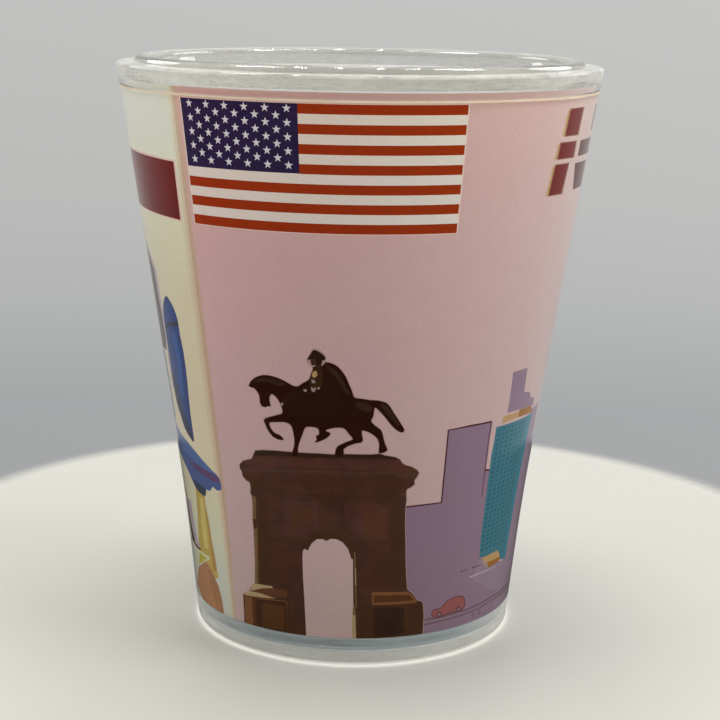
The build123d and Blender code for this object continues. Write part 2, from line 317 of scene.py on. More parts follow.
# kind of ink, outline
DRAWING = [
    ("purple", [(15.61, 17.13), (28.18, 17.22), (27.89, 24.96), (43.8, 25.05), (44.22, 19.99), (46.25, 19.7), (46.53, 15.33), (47.13, 10.23), (61.85, 8.44), (69.81, 8.7), (88.6, 9.9), (88.6, 6.5), (88.6, 2.4), (69.66, 2.45), (52.68, 2.38), (32.61, 2.29), (16.96, 2.55)]),
    ("purple_dark", [(28.1, 24.84), (32.51, 24.92), (34.07, 20.4), (34.56, 16.62), (33.38, 16.68), (32.21, 16.74), (29.2, 16.88)]),
    ("outline", [(15.66, 17.04), (20.87, 17.09), (28.39, 17.14), (28.34, 20.66), (28.11, 24.85), (35.44, 24.94), (44.07, 24.94), (43.81, 25.13), (35.23, 25.13), (27.58, 24.96), (27.74, 20.7), (27.84, 17.27), (20.75, 17.27), (15.56, 17.22)]),
    ("plum_edge", [(43.36, 25.02), (43.35, 23.11), (43.71, 20.3), (43.79, 18.78), (44.13, 16.92), (44.62, 16.87), (44.36, 18.73), (44.37, 20.24), (44.08, 23.04), (44.16, 24.94)]),
    ("outline", [(43.95, 19.79), (46.38, 19.59), (46.32, 19.79), (43.89, 19.99)]),
    ("purple_light", [(46.86, 9.8), (61.85, 8.44), (69.81, 8.7), (76.93, 9.38), (77.38, 6.5), (77.03, 4.25), (56.83, 5.63), (44.94, 7.73)]),
    ("purple", [(50.27, 29.85), (57.95, 29.87), (58.46, 27.22), (62.36, 27), (64.46, 26.21), (67.52, 26.03), (68.03, 25.18), (57.3, 25.49), (50.64, 25.51), (50.73, 26.88)]),
    ("purple_dark", [(53.53, 29.86), (57.95, 29.87), (58.46, 27.22), (62.36, 27), (64.46, 26.21), (67.52, 26.03), (68.03, 25.18), (56.69, 25.49), (55.22, 27.65)]),
    ("purple_light", [(62.0, 3.0), (88.6, 3.0), (88.6, 20.6), (76.0, 21.2), (74.5, 24.9), (66.2, 24.9), (63.0, 9.0)]),
    ("teal", [(46.26, 24.3), (68.0, 24.3), (67.8, 22.0), (67.2, 17.0), (66.6, 12.5), (65.9, 8.5), (59.97, 8.72), (47.2, 10.11), (46.72, 12.03), (46.53, 15.33), (46.2, 19.7), (45.95, 21.33), (46.28, 22.92)]),
    ("teal_edge", [(65.2, 24.3), (68.0, 24.3), (67.8, 22.0), (67.2, 17.0), (66.6, 12.5), (65.9, 8.5), (63.6, 8.8), (64.0, 12.5), (64.6, 17.0), (65.0, 22.0)]),
    ("gold", [(49.08, 25.29), (66.05, 25.28), (68.4, 24.41), (57.57, 24.62), (48.68, 24.52)]),
    ("gold_dark", [(57.36, 25.43), (66.05, 25.28), (68.4, 24.41), (57.57, 24.62)]),
    ("gold", [(48.38, 9.91), (58.06, 10.01), (60.78, 9.1), (51.98, 9.13)]),
    ("gold_dark", [(51.98, 9.13), (60.78, 9.1), (60.46, 8.62), (53.36, 8.45)]),
    ("gold_pink", [(48.38, 9.91), (51.98, 9.13), (53.36, 8.45), (50.94, 8.93)]),
    ("line_pale", [(43.4, 8.07), (47.93, 8.15), (53.08, 8.15), (58.39, 8.15), (58.03, 8.26), (52.75, 8.28), (47.62, 8.29), (43.08, 8.23)]),
    ("line_dark", [(38.75, 8.99), (40.36, 8.98), (41.9, 9.13), (41.67, 9.22), (40.08, 9.13), (38.52, 9.2)]),
    ("line_dark", [(44.08, 9.09), (46.35, 9.07), (48.93, 9.16), (48.68, 9.26), (46.06, 9.21), (43.79, 9.27)]),
    ("road", [(24.71, 4.49), (28.6, 4.48), (31.85, 4.49), (38.34, 4.51), (45.61, 4.57), (51.13, 4.64), (57.57, 4.74), (66.06, 4.76), (77.14, 4.68), (77.03, 4.11), (66.68, 4.3), (57.92, 4.33), (51.45, 4.16), (45.85, 4.12), (38.54, 4.05), (32, 4.03), (28.76, 3.97), (24.86, 3.93)]),
    ("line_dark", [(24.79, 4.38), (28.7, 4.38), (31.96, 4.39), (38.48, 4.42), (45.79, 4.48), (51.36, 4.55), (57.87, 4.66), (66.52, 4.67), (77.45, 4.74), (75.63, 4.89), (65.62, 4.85), (57.28, 4.82), (50.9, 4.72), (45.42, 4.65), (38.2, 4.6), (31.74, 4.58), (28.51, 4.59), (24.62, 4.6)]),
    ("line_dark", [(24.94, 3.84), (28.85, 3.89), (32.1, 3.95), (38.66, 3.97), (46.01, 4.05), (51.66, 4.09), (58.19, 4.26), (67.1, 4.22), (76.5, 4.26), (74.79, 4.39), (66.26, 4.38), (57.65, 4.4), (51.24, 4.23), (45.69, 4.2), (38.41, 4.13), (31.9, 4.11), (28.66, 4.06), (24.77, 4.02)]),
    ("pillar", [(46.06, 4.23), (47.68, 4.21), (48.61, 3.4), (46.98, 3.45)]),
    ("pillar", [(49.5, 4.18), (50.82, 4.2), (52.2, 3.33), (50.61, 3.35)]),
    ("car_line", [(28.18, 4.87), (28.06, 5.06), (28.2, 5.23), (28.47, 5.39), (29.03, 5.5), (30.22, 5.5), (31.45, 5.49), (32.09, 5.63), (32.56, 5.8), (33.11, 5.94), (33.72, 6.07), (34.47, 6.2), (35.35, 6.31), (36.39, 6.37), (37.51, 6.4), (38.7, 6.4), (39.83, 6.36), (40.79, 6.26), (41.58, 6.1), (42.18, 5.88), (42.57, 5.62), (42.75, 5.32), (42.65, 5.04), (42.19, 4.8), (41.39, 4.64), (40.22, 4.62), (38.77, 4.64), (36.93, 4.63), (35.23, 4.61), (34.27, 4.57), (33.55, 4.53), (32.77, 4.46), (31.9, 4.4), (30.71, 4.42), (29.56, 4.5), (28.73, 4.67)]),
    ("car", [(28.47, 4.89), (28.36, 5.04), (28.48, 5.18), (28.7, 5.32), (29.21, 5.42), (30.38, 5.41), (31.63, 5.41), (32.29, 5.56), (32.79, 5.74), (33.34, 5.87), (33.94, 6), (34.67, 6.13), (35.53, 6.23), (36.54, 6.29), (37.64, 6.32), (38.78, 6.32), (39.84, 6.28), (40.68, 6.19), (41.35, 6.05), (41.87, 5.86), (42.21, 5.63), (42.38, 5.36), (42.29, 5.09), (41.88, 4.88), (41.14, 4.73), (40.04, 4.71), (38.64, 4.73), (36.8, 4.72), (35.09, 4.69), (34.13, 4.65), (33.4, 4.61), (32.63, 4.54), (31.8, 4.48), (30.69, 4.5), (29.64, 4.57), (28.92, 4.72)]),
    ("car_light", [(33.46, 5.82), (35.48, 6.09), (36.36, 6.06), (35.02, 5.62), (33.33, 5.61)]),
    ("car_light", [(37, 6.11), (39.71, 6.09), (40.4, 5.6), (37.42, 5.62)]),
    ("car_line", [(32.54, 4.76), (32.45, 4.62), (32.1, 4.52), (31.57, 4.49), (30.99, 4.55), (30.49, 4.66), (30.18, 4.82), (30.13, 4.97), (30.35, 5.1), (30.79, 5.16), (31.35, 5.15), (31.92, 5.06), (32.35, 4.92)]),
    ("wheel", [(32.12, 4.79), (32.03, 4.68), (31.72, 4.62), (31.28, 4.62), (30.85, 4.7), (30.58, 4.81), (30.54, 4.93), (30.75, 5.02), (31.13, 5.05), (31.58, 5.01), (31.95, 4.91)]),
    ("car_line", [(40.97, 4.78), (40.88, 4.65), (40.53, 4.57), (39.99, 4.56), (39.39, 4.62), (38.86, 4.73), (38.54, 4.88), (38.47, 5.02), (38.69, 5.13), (39.14, 5.18), (39.72, 5.15), (40.3, 5.06), (40.76, 4.93)]),
    ("wheel", [(40.48, 4.81), (40.4, 4.72), (40.1, 4.67), (39.67, 4.69), (39.26, 4.76), (38.99, 4.86), (38.95, 4.97), (39.14, 5.04), (39.51, 5.06), (39.95, 5.01), (40.31, 4.92)]),
    ("halo", [(-30.66, 22.41), (-28.19, 22.59), (-23.82, 22.74), (-18.42, 22.79), (-15.97, 22.82), (-9.99, 22.87), (-5.62, 22.84), (-3.3, 22.93), (5.07, 22.91), (7.42, 23), (8.94, 22.77), (11.93, 22.58), (13.57, 22.27), (14.25, 21.89), (15.13, 21.68), (17.33, 21.42), (19.06, 21.04), (19.9, 20.65), (18.99, 20.09), (18.54, 19.91), (18.71, 19.47), (17.56, 19.15), (16.39, 18.98), (16.17, 18.71), (16.44, 17.85), (16.27, 17.11), (16.46, 15.71), (16.67, 14.63), (17.17, 13), (17.49, 11.36), (17.99, 9.71), (18.64, 8.19), (19.3, 7.97), (20.44, 7.71), (21.67, 7.21), (22.44, 6.82), (24.39, 6.63), (24.96, 6.05), (25.43, 5.02), (25.54, 3.89), (25.56, 2.76), (16.96, 2.75), (8.09, 2.65), (1.42, 2.57), (0.96, 5.86), (0.11, 6.74), (-0.13, 9.93), (-0.2, 11.55), (-0.85, 12.28), (-2.11, 13.01), (-3.64, 13.46), (-5.47, 13.7), (-7.23, 13.7), (-7.87, 13.49), (-9, 13.47), (-9.64, 13.62), (-11.45, 13.57), (-13.34, 13.31), (-14.96, 12.8), (-15.97, 12.2), (-16.18, 11.67), (-16.21, 9.6), (-15.92, 6.88), (-15.56, 2.46), (-22.01, 2.43), (-29.92, 2.44), (-41.37, 2.43), (-40.96, 4.31), (-40.82, 6.16), (-39.33, 6.47), (-37.29, 6.76), (-37.61, 6.98), (-35.98, 7.52), (-35.04, 7.74), (-34.42, 9.77), (-34.06, 12.52), (-33.88, 13.84), (-34.02, 14.7), (-33.52, 16.35), (-33.57, 17.4), (-34.11, 17.59), (-33.72, 18.17), (-33.89, 18.75), (-34.93, 18.84), (-36.44, 19.25), (-36.64, 19.78), (-37.34, 20.07), (-37.15, 20.56), (-35.68, 21.01), (-33.6, 21.3), (-32.24, 21.42), (-31.83, 21.72)]),
    ("halo", [(-31.11, 28.99), (-30.17, 29.62), (-28.34, 30.13), (-26, 30.44), (-23.8, 30.48), (-21.7, 30.35), (-19.66, 30.11), (-17.96, 29.81), (-16.87, 29.65), (-15.82, 29.65), (-14.42, 30.01), (-12.76, 30.4), (-12.19, 30.94), (-11.6, 31.46), (-11.29, 31.74), (-10.11, 32.14), (-8.15, 32.28), (-6.5, 32.2), (-4.86, 31.91), (-3.49, 31.41), (-2.4, 30.81), (-1.57, 30.1), (-0.74, 29.39), (-0.2, 28.81), (0.79, 28.7), (2.42, 28.63), (4.06, 28.53), (6.27, 28.47), (8.57, 28.25), (9.8, 27.81), (11.03, 27.13), (12.27, 26.49), (13.23, 25.96), (14.44, 25.27), (13.58, 24.96), (12.23, 25.15), (10.68, 25.6), (9.15, 26.24), (7.96, 26.77), (6.51, 27.33), (5.62, 27.58), (5.43, 27.22), (5.2, 26.7), (4.71, 26.32), (5.78, 25.89), (7.56, 25.41), (8.23, 24.76), (8.91, 23.92), (9.77, 23.3), (9.25, 23.11), (8.64, 22.95), (6.92, 22.9), (6.86, 23.5), (6.8, 24.01), (6.21, 24.5), (4.8, 24.91), (3.4, 25.16), (2.23, 25.25), (2.25, 24.87), (2.58, 24.32), (1.93, 24.02), (0.17, 23.91), (-1.78, 23.64), (-2.95, 23.29), (-2.81, 23.05), (-3.47, 22.57), (-5.84, 22.54), (-5.5, 23.37), (-4.87, 23.72), (-3.1, 24.06), (-1.39, 24.33), (-0.75, 24.46), (-1.76, 24.9), (-2.6, 25.3), (-3.38, 25.49), (-4.73, 25.52), (-6.11, 25.45), (-7.74, 25.27), (-7.87, 25.21), (-6.61, 25.02), (-7.16, 24.63), (-8.38, 24.28), (-10.17, 23.98), (-11.71, 23.82), (-11, 24.29), (-11.29, 24.62), (-10.37, 24.81), (-10.35, 25.11), (-10.58, 25.33), (-11.62, 25.45), (-13.29, 25.45), (-14.07, 25.3), (-14.68, 24.79), (-15.67, 23.93), (-16.35, 23.19), (-16.45, 22.39), (-18.77, 22.31), (-17.95, 23.26), (-17.7, 23.99), (-17.9, 24.7), (-18.26, 25.29), (-19.06, 25.6), (-20.48, 25.7), (-22.93, 25.6), (-24.76, 25.48), (-24.45, 25.01), (-23.33, 24.57), (-21.79, 24.42), (-20.37, 23.89), (-22.39, 23.8), (-24.34, 24.05), (-25.87, 24.68), (-26.7, 25.38), (-26.99, 25.72), (-26.14, 26.01), (-23.79, 26.32), (-21.9, 26.55), (-20.95, 26.72), (-21, 27.17), (-21.51, 27.66), (-22.32, 28.13), (-23.14, 28.39), (-23.7, 28.44), (-24.19, 28.18), (-24.27, 27.79), (-23.92, 27.22), (-25.09, 27.17), (-25.77, 27.03), (-27.21, 27.09), (-27.82, 27.51), (-27.83, 28.13), (-28.48, 28.59), (-29.34, 28.84)]),
    ("pink_mid", [(-15.91, 2.55), (-16.25, 6.86), (-16.54, 9.59), (-16.51, 11.66), (-16.22, 12.21), (-15.15, 12.84), (-13.46, 13.38), (-11.49, 13.65), (-5.41, 13.78), (-3.51, 13.53), (-1.92, 13.06), (-0.63, 12.32), (0.04, 11.56), (0.12, 9.93), (0.36, 6.76), (1.17, 5.88), (1.63, 2.66), (-7.5, 2.56)]),
    ("stone", [(-30.51, 22.34), (-28.21, 22.51), (-23.85, 22.66), (-18.45, 22.71), (-15.99, 22.74), (-10, 22.79), (-5.62, 22.77), (-3.3, 22.85), (5.09, 22.83), (7.4, 22.92), (8.89, 22.7), (11.87, 22.5), (13.42, 22.22), (14.09, 21.84), (15.05, 21.61), (17.25, 21.35), (18.9, 20.99), (19.62, 20.65), (18.79, 20.14), (18.29, 19.94), (18.46, 19.51), (17.41, 19.22), (16.18, 19.04), (15.93, 18.72), (16.2, 17.86), (16.03, 17.12), (16.21, 15.72), (16.42, 14.64), (16.91, 13), (17.24, 11.36), (17.73, 9.71), (18.39, 8.16), (19.14, 7.91), (20.26, 7.66), (21.45, 7.17), (22.28, 6.76), (24.17, 6.57), (24.68, 6.05), (25.14, 5.03), (25.24, 3.91), (25.26, 2.85), (16.91, 2.83), (8.06, 2.74), (1.66, 2.66), (1.21, 5.88), (0.36, 6.76), (0.12, 9.93), (0.04, 11.56), (-0.63, 12.32), (-1.92, 13.06), (-3.51, 13.53), (-5.41, 13.78), (-7.32, 13.78), (-7.96, 13.57), (-8.92, 13.55), (-9.55, 13.7), (-11.49, 13.65), (-13.46, 13.38), (-15.15, 12.84), (-16.22, 12.21), (-16.44, 11.66), (-16.47, 9.59), (-16.18, 6.86), (-15.84, 2.55), (-21.95, 2.51), (-29.83, 2.52), (-40.97, 2.52), (-40.59, 4.35), (-40.46, 6.14), (-39.21, 6.4), (-36.86, 6.74), (-37.23, 6.99), (-35.78, 7.48), (-34.73, 7.71), (-34.1, 9.79), (-33.75, 12.55), (-33.57, 13.86), (-33.72, 14.72), (-33.22, 16.37), (-33.28, 17.44), (-33.79, 17.63), (-33.43, 18.19), (-33.6, 18.82), (-34.72, 18.91), (-36.14, 19.31), (-36.34, 19.83), (-37.03, 20.11), (-36.86, 20.55), (-35.55, 20.95), (-33.56, 21.22), (-32.05, 21.36), (-31.59, 21.7)]),
    ("stone_top", [(-30.51, 22.34), (-28.21, 22.51), (-23.85, 22.66), (-18.45, 22.71), (-15.99, 22.74), (-10, 22.79), (-5.62, 22.77), (-3.3, 22.85), (5.09, 22.83), (7.4, 22.92), (8.89, 22.7), (11.87, 22.5), (12.96, 22.28), (7.46, 22.38), (-4.17, 22.42), (-16.05, 22.26), (-25.62, 22.05), (-31.21, 21.77)]),
    ("stone_hi", [(-31.25, 21.61), (-16.07, 22.05), (-4.17, 22.18), (13.14, 22.06), (14.44, 21.57), (18.61, 20.89), (10.6, 21.1), (-4.17, 21.32), (-19.31, 21.15), (-33.06, 20.51), (-35.69, 20.57), (-33.6, 21.11)]),
    ("stone_mid", [(-36.16, 20.32), (-19.35, 20.94), (-4.17, 21.08), (10.63, 20.87), (18.97, 20.72), (18.48, 20.1), (10.69, 20.47), (-4.17, 20.7), (-19.41, 20.57), (-35.96, 19.8)]),
    ("stone_lo", [(-35.3, 19.47), (-19.46, 20.25), (-4.17, 20.42), (10.74, 20.15), (18.23, 19.79), (17.69, 19.37), (15.24, 19.06), (4.81, 19.29), (-10.21, 19.36), (-22.93, 19.04), (-33.29, 18.62)]),
    ("stone_dark", [(-33.08, 19.28), (-27.58, 19.57), (-27.24, 18.1), (-33.3, 17.98)]),
    ("stone_dark", [(3.5, 20.73), (11.87, 20.66), (12.56, 20.17), (5.33, 20.14)]),
    ("stone_dark", [(-33.16, 17.92), (-23.12, 18.23), (-10.3, 18.23), (1.88, 18.22), (15.74, 18.08), (15.7, 18.31), (1.87, 18.46), (-10.24, 18.47), (-23.01, 18.46), (-33.02, 18.17)]),
    ("stone_hi", [(-21.54, 17.5), (-10.93, 17.64), (-11.11, 14.63), (-17.05, 13.81), (-22.89, 13.57)]),
    ("stone_hi", [(-2.95, 17.67), (7.4, 17.68), (9.91, 17.34), (10.69, 13.99), (2.77, 13.95), (-2.6, 15.32)]),
    ("stone_rust", [(-19.95, 17.03), (-12.22, 17.07), (-13.01, 15.01), (-19.67, 14.35)]),
    ("stone_rust", [(2.57, 16.95), (9.38, 16.7), (10.36, 14.11), (4.01, 14.16)]),
    ("stone_dark", [(-14.58, 12.32), (-13.32, 13.11), (-11.35, 13.7), (-8.53, 13.99), (-5.75, 13.92), (-3.23, 13.43), (-1.56, 12.74), (-0.47, 11.66), (1.5, 11.89), (0.25, 13.08), (-1.91, 13.98), (-5.07, 14.59), (-8.62, 14.69), (-12.23, 14.31), (-14.93, 13.51), (-16.47, 12.59)]),
    ("stone_dark", [(-32.39, 12.5), (-24.11, 12.84), (-17.21, 12.86), (-17.08, 13.12), (-23.99, 13.1), (-32.28, 12.77)]),
    ("stone_dark", [(1.23, 13.29), (8.56, 13.2), (16.06, 13.28), (15.95, 13.52), (8.51, 13.44), (1.23, 13.52)]),
    ("stone_lo", [(-27.81, 12.35), (-17.88, 12.48), (-17.97, 8.44), (-28.28, 8.16)]),
    ("stone_lo", [(2.21, 12.87), (10.52, 12.92), (11.43, 8.65), (2.83, 8.3)]),
    ("stone_dark", [(10.72, 18.18), (14.47, 18.12), (15.91, 8.34), (12.17, 8.2)]),
    ("stone_dark", [(-30.88, 17.26), (-27.44, 17.23), (-29.45, 8.21), (-32.85, 8.22)]),
    ("gold_edge", [(-33.23, 17.34), (-31.78, 17.37), (-32.4, 14.8), (-32.17, 13.95), (-32.83, 10.42), (-33.3, 7.75), (-34.74, 7.69), (-33.99, 10.34), (-33.79, 12.54), (-33.61, 13.86), (-33.72, 14.72), (-33.22, 16.37)]),
    ("stone_dark", [(-33.68, 14.83), (-32.37, 14.91), (-32.37, 13.93), (-33.6, 13.75)]),
    ("gold_edge", [(0.23, 12.42), (0.73, 9.93), (1.02, 6.32), (1.55, 6.32), (1.25, 9.94), (0.74, 12.43)]),
    ("gold_pale", [(0.65, 10.69), (0.84, 8.84), (1.13, 8.84), (0.94, 10.7)]),
    ("gold_edge", [(0.33, 6.65), (1.21, 5.88), (1.63, 2.66), (0.32, 2.66), (0.17, 5.88)]),
    ("gold_pale", [(-0.09, 5.54), (1.09, 5.55), (1.49, 2.66), (0.18, 2.66)]),
    ("gold_pale", [(-37.23, 6.99), (-35.78, 7.48), (-34.73, 7.73), (-27.96, 7.85), (-27.61, 7.65), (-32.03, 7.37), (-36.39, 6.82)]),
    ("base_tan", [(-36.41, 6.77), (-32.04, 7.33), (-27.61, 7.62), (-21.62, 7.68), (-22.09, 6.95), (-27.02, 6.64), (-32.18, 6.72)]),
    ("gold_pale", [(-40.55, 6.13), (-39.2, 6.42), (-36.86, 6.74), (-33, 6.78), (-26.66, 6.55), (-32.27, 6.35), (-38.38, 6.13)]),
    ("base_hi", [(-39.81, 5.97), (-32.29, 6.27), (-25.14, 6.46), (-22.33, 6.49), (-23.05, 2.79), (-29.8, 2.69), (-40.43, 2.68)]),
    ("base_brown", [(-36.6, 6.09), (-34.86, 6.1), (-35.35, 2.66), (-37.14, 2.7)]),
    ("stone_dark", [(-34.86, 6.1), (-22.53, 6.43), (-22.89, 2.58), (-35.37, 2.6)]),
    ("base_hi", [(-39.17, 5.79), (-36.65, 5.92), (-36.89, 2.78), (-39.7, 2.73)]),
    ("base_brown", [(-32.42, 5.71), (-23.73, 5.87), (-24.14, 3.19), (-32.62, 3.13)]),
    ("stone_dark", [(-22.26, 7.7), (-22.41, 5.27), (-22.41, 2.6), (-21.46, 2.65), (-21.48, 5.32), (-21.34, 7.75)]),
    ("base_hi", [(6.49, 8.06), (18.44, 7.88), (20.29, 7.55), (21.48, 7.06), (22.33, 6.53), (6.63, 6.63)]),
    ("base_brown", [(6.85, 7.73), (19.22, 7.53), (21.16, 6.85), (7.27, 6.9)]),
    ("stone_dark", [(1.94, 6.54), (24.34, 6.34), (25.24, 3.91), (25.13, 2.91), (13.32, 2.87), (2.17, 2.77)]),
    ("base_deep", [(7.33, 6.3), (17.72, 6.14), (18.28, 3.29), (7.67, 3.08)]),
    ("bronze", [(-30.81, 29.04), (-30.62, 29.29), (-30, 29.59), (-29.22, 29.85), (-28.26, 30.08), (-27.15, 30.25), (-25.99, 30.38), (-24.91, 30.42), (-23.85, 30.41), (-22.8, 30.36), (-21.77, 30.28), (-20.74, 30.18), (-19.75, 30.05), (-18.85, 29.89), (-18.06, 29.75), (-17.46, 29.64), (-16.93, 29.58), (-16.38, 29.55), (-15.78, 29.58), (-15.09, 29.74), (-14.33, 29.96), (-13.42, 30.14), (-12.62, 30.35), (-12.25, 30.63), (-12.02, 30.92), (-11.71, 31.2), (-11.43, 31.44), (-11.32, 31.58), (-11.14, 31.7), (-10.69, 31.9), (-10.04, 32.08), (-9.12, 32.17), (-8.15, 32.21), (-7.33, 32.2), (-6.55, 32.14), (-5.74, 32.02), (-4.96, 31.86), (-4.26, 31.63), (-3.63, 31.37), (-3.06, 31.08), (-2.55, 30.77), (-2.13, 30.43), (-1.73, 30.07), (-1.3, 29.71), (-0.91, 29.37), (-0.64, 29.03), (-0.34, 28.76), (0.14, 28.66), (0.75, 28.63), (1.54, 28.6), (2.4, 28.57), (3.19, 28.51), (4.05, 28.46), (5.11, 28.44), (6.25, 28.41), (7.43, 28.32), (8.49, 28.19), (9.14, 28.01), (9.66, 27.77), (10.26, 27.44), (10.88, 27.09), (11.51, 26.76), (12.12, 26.46), (12.6, 26.19), (13.07, 25.93), (13.74, 25.59), (14.2, 25.29), (14, 25.11), (13.51, 25.04), (12.97, 25.08), (12.32, 25.21), (11.58, 25.4), (10.81, 25.65), (10.03, 25.96), (9.29, 26.28), (8.69, 26.55), (8.09, 26.81), (7.36, 27.11), (6.63, 27.38), (5.98, 27.6), (5.49, 27.69), (5.31, 27.52), (5.25, 27.23), (5.16, 26.97), (5.02, 26.72), (4.67, 26.51), (4.5, 26.31), (4.94, 26.08), (5.66, 25.84), (6.57, 25.61), (7.41, 25.37), (7.8, 25.08), (8.06, 24.74), (8.39, 24.32), (8.74, 23.9), (9.21, 23.57), (9.54, 23.32), (9.42, 23.22), (9.12, 23.17), (8.9, 23.08), (8.56, 23.02), (7.8, 22.95), (7.1, 22.97), (6.99, 23.2), (7.05, 23.5), (7.05, 23.76), (6.99, 24.02), (6.76, 24.29), (6.36, 24.54), (5.68, 24.77), (4.89, 24.96), (4.17, 25.11), (3.46, 25.23), (2.66, 25.32), (2.04, 25.33), (1.94, 25.13), (2.07, 24.86), (2.26, 24.59), (2.38, 24.34), (2.23, 24.19), (1.83, 24.08), (1.06, 24.03), (0.12, 23.97), (-0.9, 23.85), (-1.87, 23.7), (-2.65, 23.51), (-3.16, 23.32), (-3.13, 23.19), (-3.01, 23.06), (-3.16, 22.83), (-3.59, 22.64), (-4.66, 22.55), (-5.62, 22.61), (-5.63, 22.96), (-5.32, 23.35), (-5.12, 23.53), (-4.74, 23.67), (-3.95, 23.84), (-3.02, 24), (-2.11, 24.15), (-1.31, 24.27), (-0.71, 24.34), (-0.47, 24.44), (-0.93, 24.68), (-1.62, 24.95), (-2.06, 25.17), (-2.47, 25.35), (-2.86, 25.48), (-3.32, 25.55), (-3.99, 25.59), (-4.73, 25.59), (-5.42, 25.56), (-6.14, 25.52), (-7.07, 25.43), (-7.86, 25.33), (-8.19, 25.25), (-8.15, 25.17), (-7.5, 25.09), (-6.87, 24.99), (-6.93, 24.84), (-7.31, 24.67), (-7.8, 24.5), (-8.47, 24.34), (-9.34, 24.17), (-10.22, 24.04), (-10.96, 23.93), (-11.4, 23.91), (-11.15, 24.07), (-10.79, 24.29), (-10.94, 24.45), (-11.06, 24.59), (-10.64, 24.68), (-10.18, 24.77), (-10.1, 24.94), (-10.16, 25.13), (-10.22, 25.27), (-10.43, 25.38), (-10.91, 25.46), (-11.58, 25.51), (-12.46, 25.54), (-13.32, 25.52), (-13.83, 25.47), (-14.21, 25.34), (-14.53, 25.12), (-14.86, 24.81), (-15.35, 24.39), (-15.85, 23.94), (-16.25, 23.56), (-16.55, 23.19), (-16.52, 22.78), (-16.64, 22.45), (-17.62, 22.32), (-18.5, 22.39), (-18.26, 22.77), (-17.76, 23.26), (-17.57, 23.63), (-17.5, 24), (-17.57, 24.36), (-17.71, 24.72), (-17.85, 25.05), (-18.08, 25.33), (-18.43, 25.53), (-18.93, 25.66), (-19.58, 25.74), (-20.44, 25.76), (-21.64, 25.73), (-22.93, 25.67), (-24.15, 25.63), (-25.01, 25.53), (-25.04, 25.27), (-24.65, 24.97), (-24.14, 24.71), (-23.47, 24.5), (-22.7, 24.43), (-21.92, 24.36), (-21.14, 24.14), (-20.74, 23.93), (-21.34, 23.86), (-22.33, 23.87), (-23.26, 23.95), (-24.19, 24.11), (-25, 24.39), (-25.68, 24.72), (-26.16, 25.09), (-26.49, 25.41), (-26.71, 25.59), (-26.75, 25.71), (-26.56, 25.83), (-26.04, 25.95), (-24.97, 26.11), (-23.75, 26.26), (-22.72, 26.38), (-21.85, 26.49), (-21.17, 26.57), (-20.74, 26.68), (-20.67, 26.92), (-20.81, 27.2), (-21.02, 27.45), (-21.33, 27.69), (-21.72, 27.95), (-22.15, 28.18), (-22.59, 28.34), (-23.01, 28.45), (-23.4, 28.53), (-23.76, 28.52), (-24.12, 28.39), (-24.39, 28.19), (-24.49, 27.99), (-24.47, 27.78), (-24.27, 27.5), (-24.17, 27.27), (-24.58, 27.23), (-25.12, 27.23), (-25.43, 27.16), (-25.78, 27.1), (-26.42, 27.09), (-27.05, 27.15), (-27.41, 27.31), (-27.6, 27.54), (-27.6, 27.84), (-27.61, 28.16), (-27.9, 28.42), (-28.3, 28.64), (-28.69, 28.8), (-29.2, 28.91), (-30.11, 28.96)]),
    ("bronze_hi", [(-29.01, 29.63), (-28.45, 29.77), (-27.47, 29.95), (-26.37, 30.08), (-25.21, 30.12), (-23.95, 30.12), (-22.71, 30.08), (-21.33, 29.98), (-19.98, 29.84), (-19.22, 29.71), (-19.37, 29.59), (-20.1, 29.49), (-21.03, 29.44), (-22.1, 29.52), (-23.37, 29.65), (-24.59, 29.74), (-25.74, 29.72), (-26.84, 29.64), (-27.74, 29.59), (-28.46, 29.57), (-28.95, 29.58)]),
    ("bronze_hi", [(-7.9, 31.86), (-7.41, 31.84), (-6.57, 31.72), (-5.76, 31.54), (-5.11, 31.33), (-4.49, 31.06), (-3.89, 30.76), (-3.3, 30.4), (-2.74, 30.01), (-2.27, 29.66), (-1.85, 29.36), (-1.52, 29.11), (-1.44, 28.96), (-1.71, 28.91), (-2.22, 28.97), (-2.8, 29.15), (-3.39, 29.51), (-4.03, 30), (-4.7, 30.45), (-5.44, 30.78), (-6.2, 31.07), (-6.84, 31.33), (-7.39, 31.56), (-7.82, 31.76)]),
    ("bronze_mid", [(-16.43, 28.98), (-13.71, 29.09), (-10.31, 29.08), (-6.9, 28.99), (-3.32, 28.82), (0.31, 28.56), (2.96, 28.26), (4.26, 27.93), (4.56, 27.57), (3.87, 27.24), (1.91, 26.91), (-1.04, 26.6), (-4.16, 26.37), (-7.41, 26.23), (-10.86, 26.16), (-13.84, 26.18), (-16.1, 26.31), (-17.84, 26.55), (-19.06, 26.85), (-19.69, 27.22), (-19.77, 27.66), (-19.47, 28.07), (-18.96, 28.43), (-18.06, 28.75)]),
    ("bronze_hi", [(0.22, 28.25), (1.12, 28.28), (2.44, 28.22), (3.52, 28.11), (4.17, 27.94), (4.57, 27.73), (4.67, 27.54), (4.36, 27.4), (3.73, 27.28), (3.03, 27.24), (2.27, 27.31), (1.44, 27.46), (0.8, 27.64), (0.34, 27.86), (0.07, 28.1)]),
    ("bronze_mid", [(-9, 31.19), (-8.24, 31.2), (-7.25, 31.06), (-6.31, 30.83), (-5.46, 30.48), (-4.66, 30.04), (-4.16, 29.64), (-4.04, 29.3), (-4.22, 28.99), (-4.71, 28.82), (-5.66, 28.83), (-6.92, 28.97), (-7.99, 29.18), (-8.74, 29.46), (-9.29, 29.81), (-9.6, 30.17), (-9.64, 30.56), (-9.44, 30.95)]),
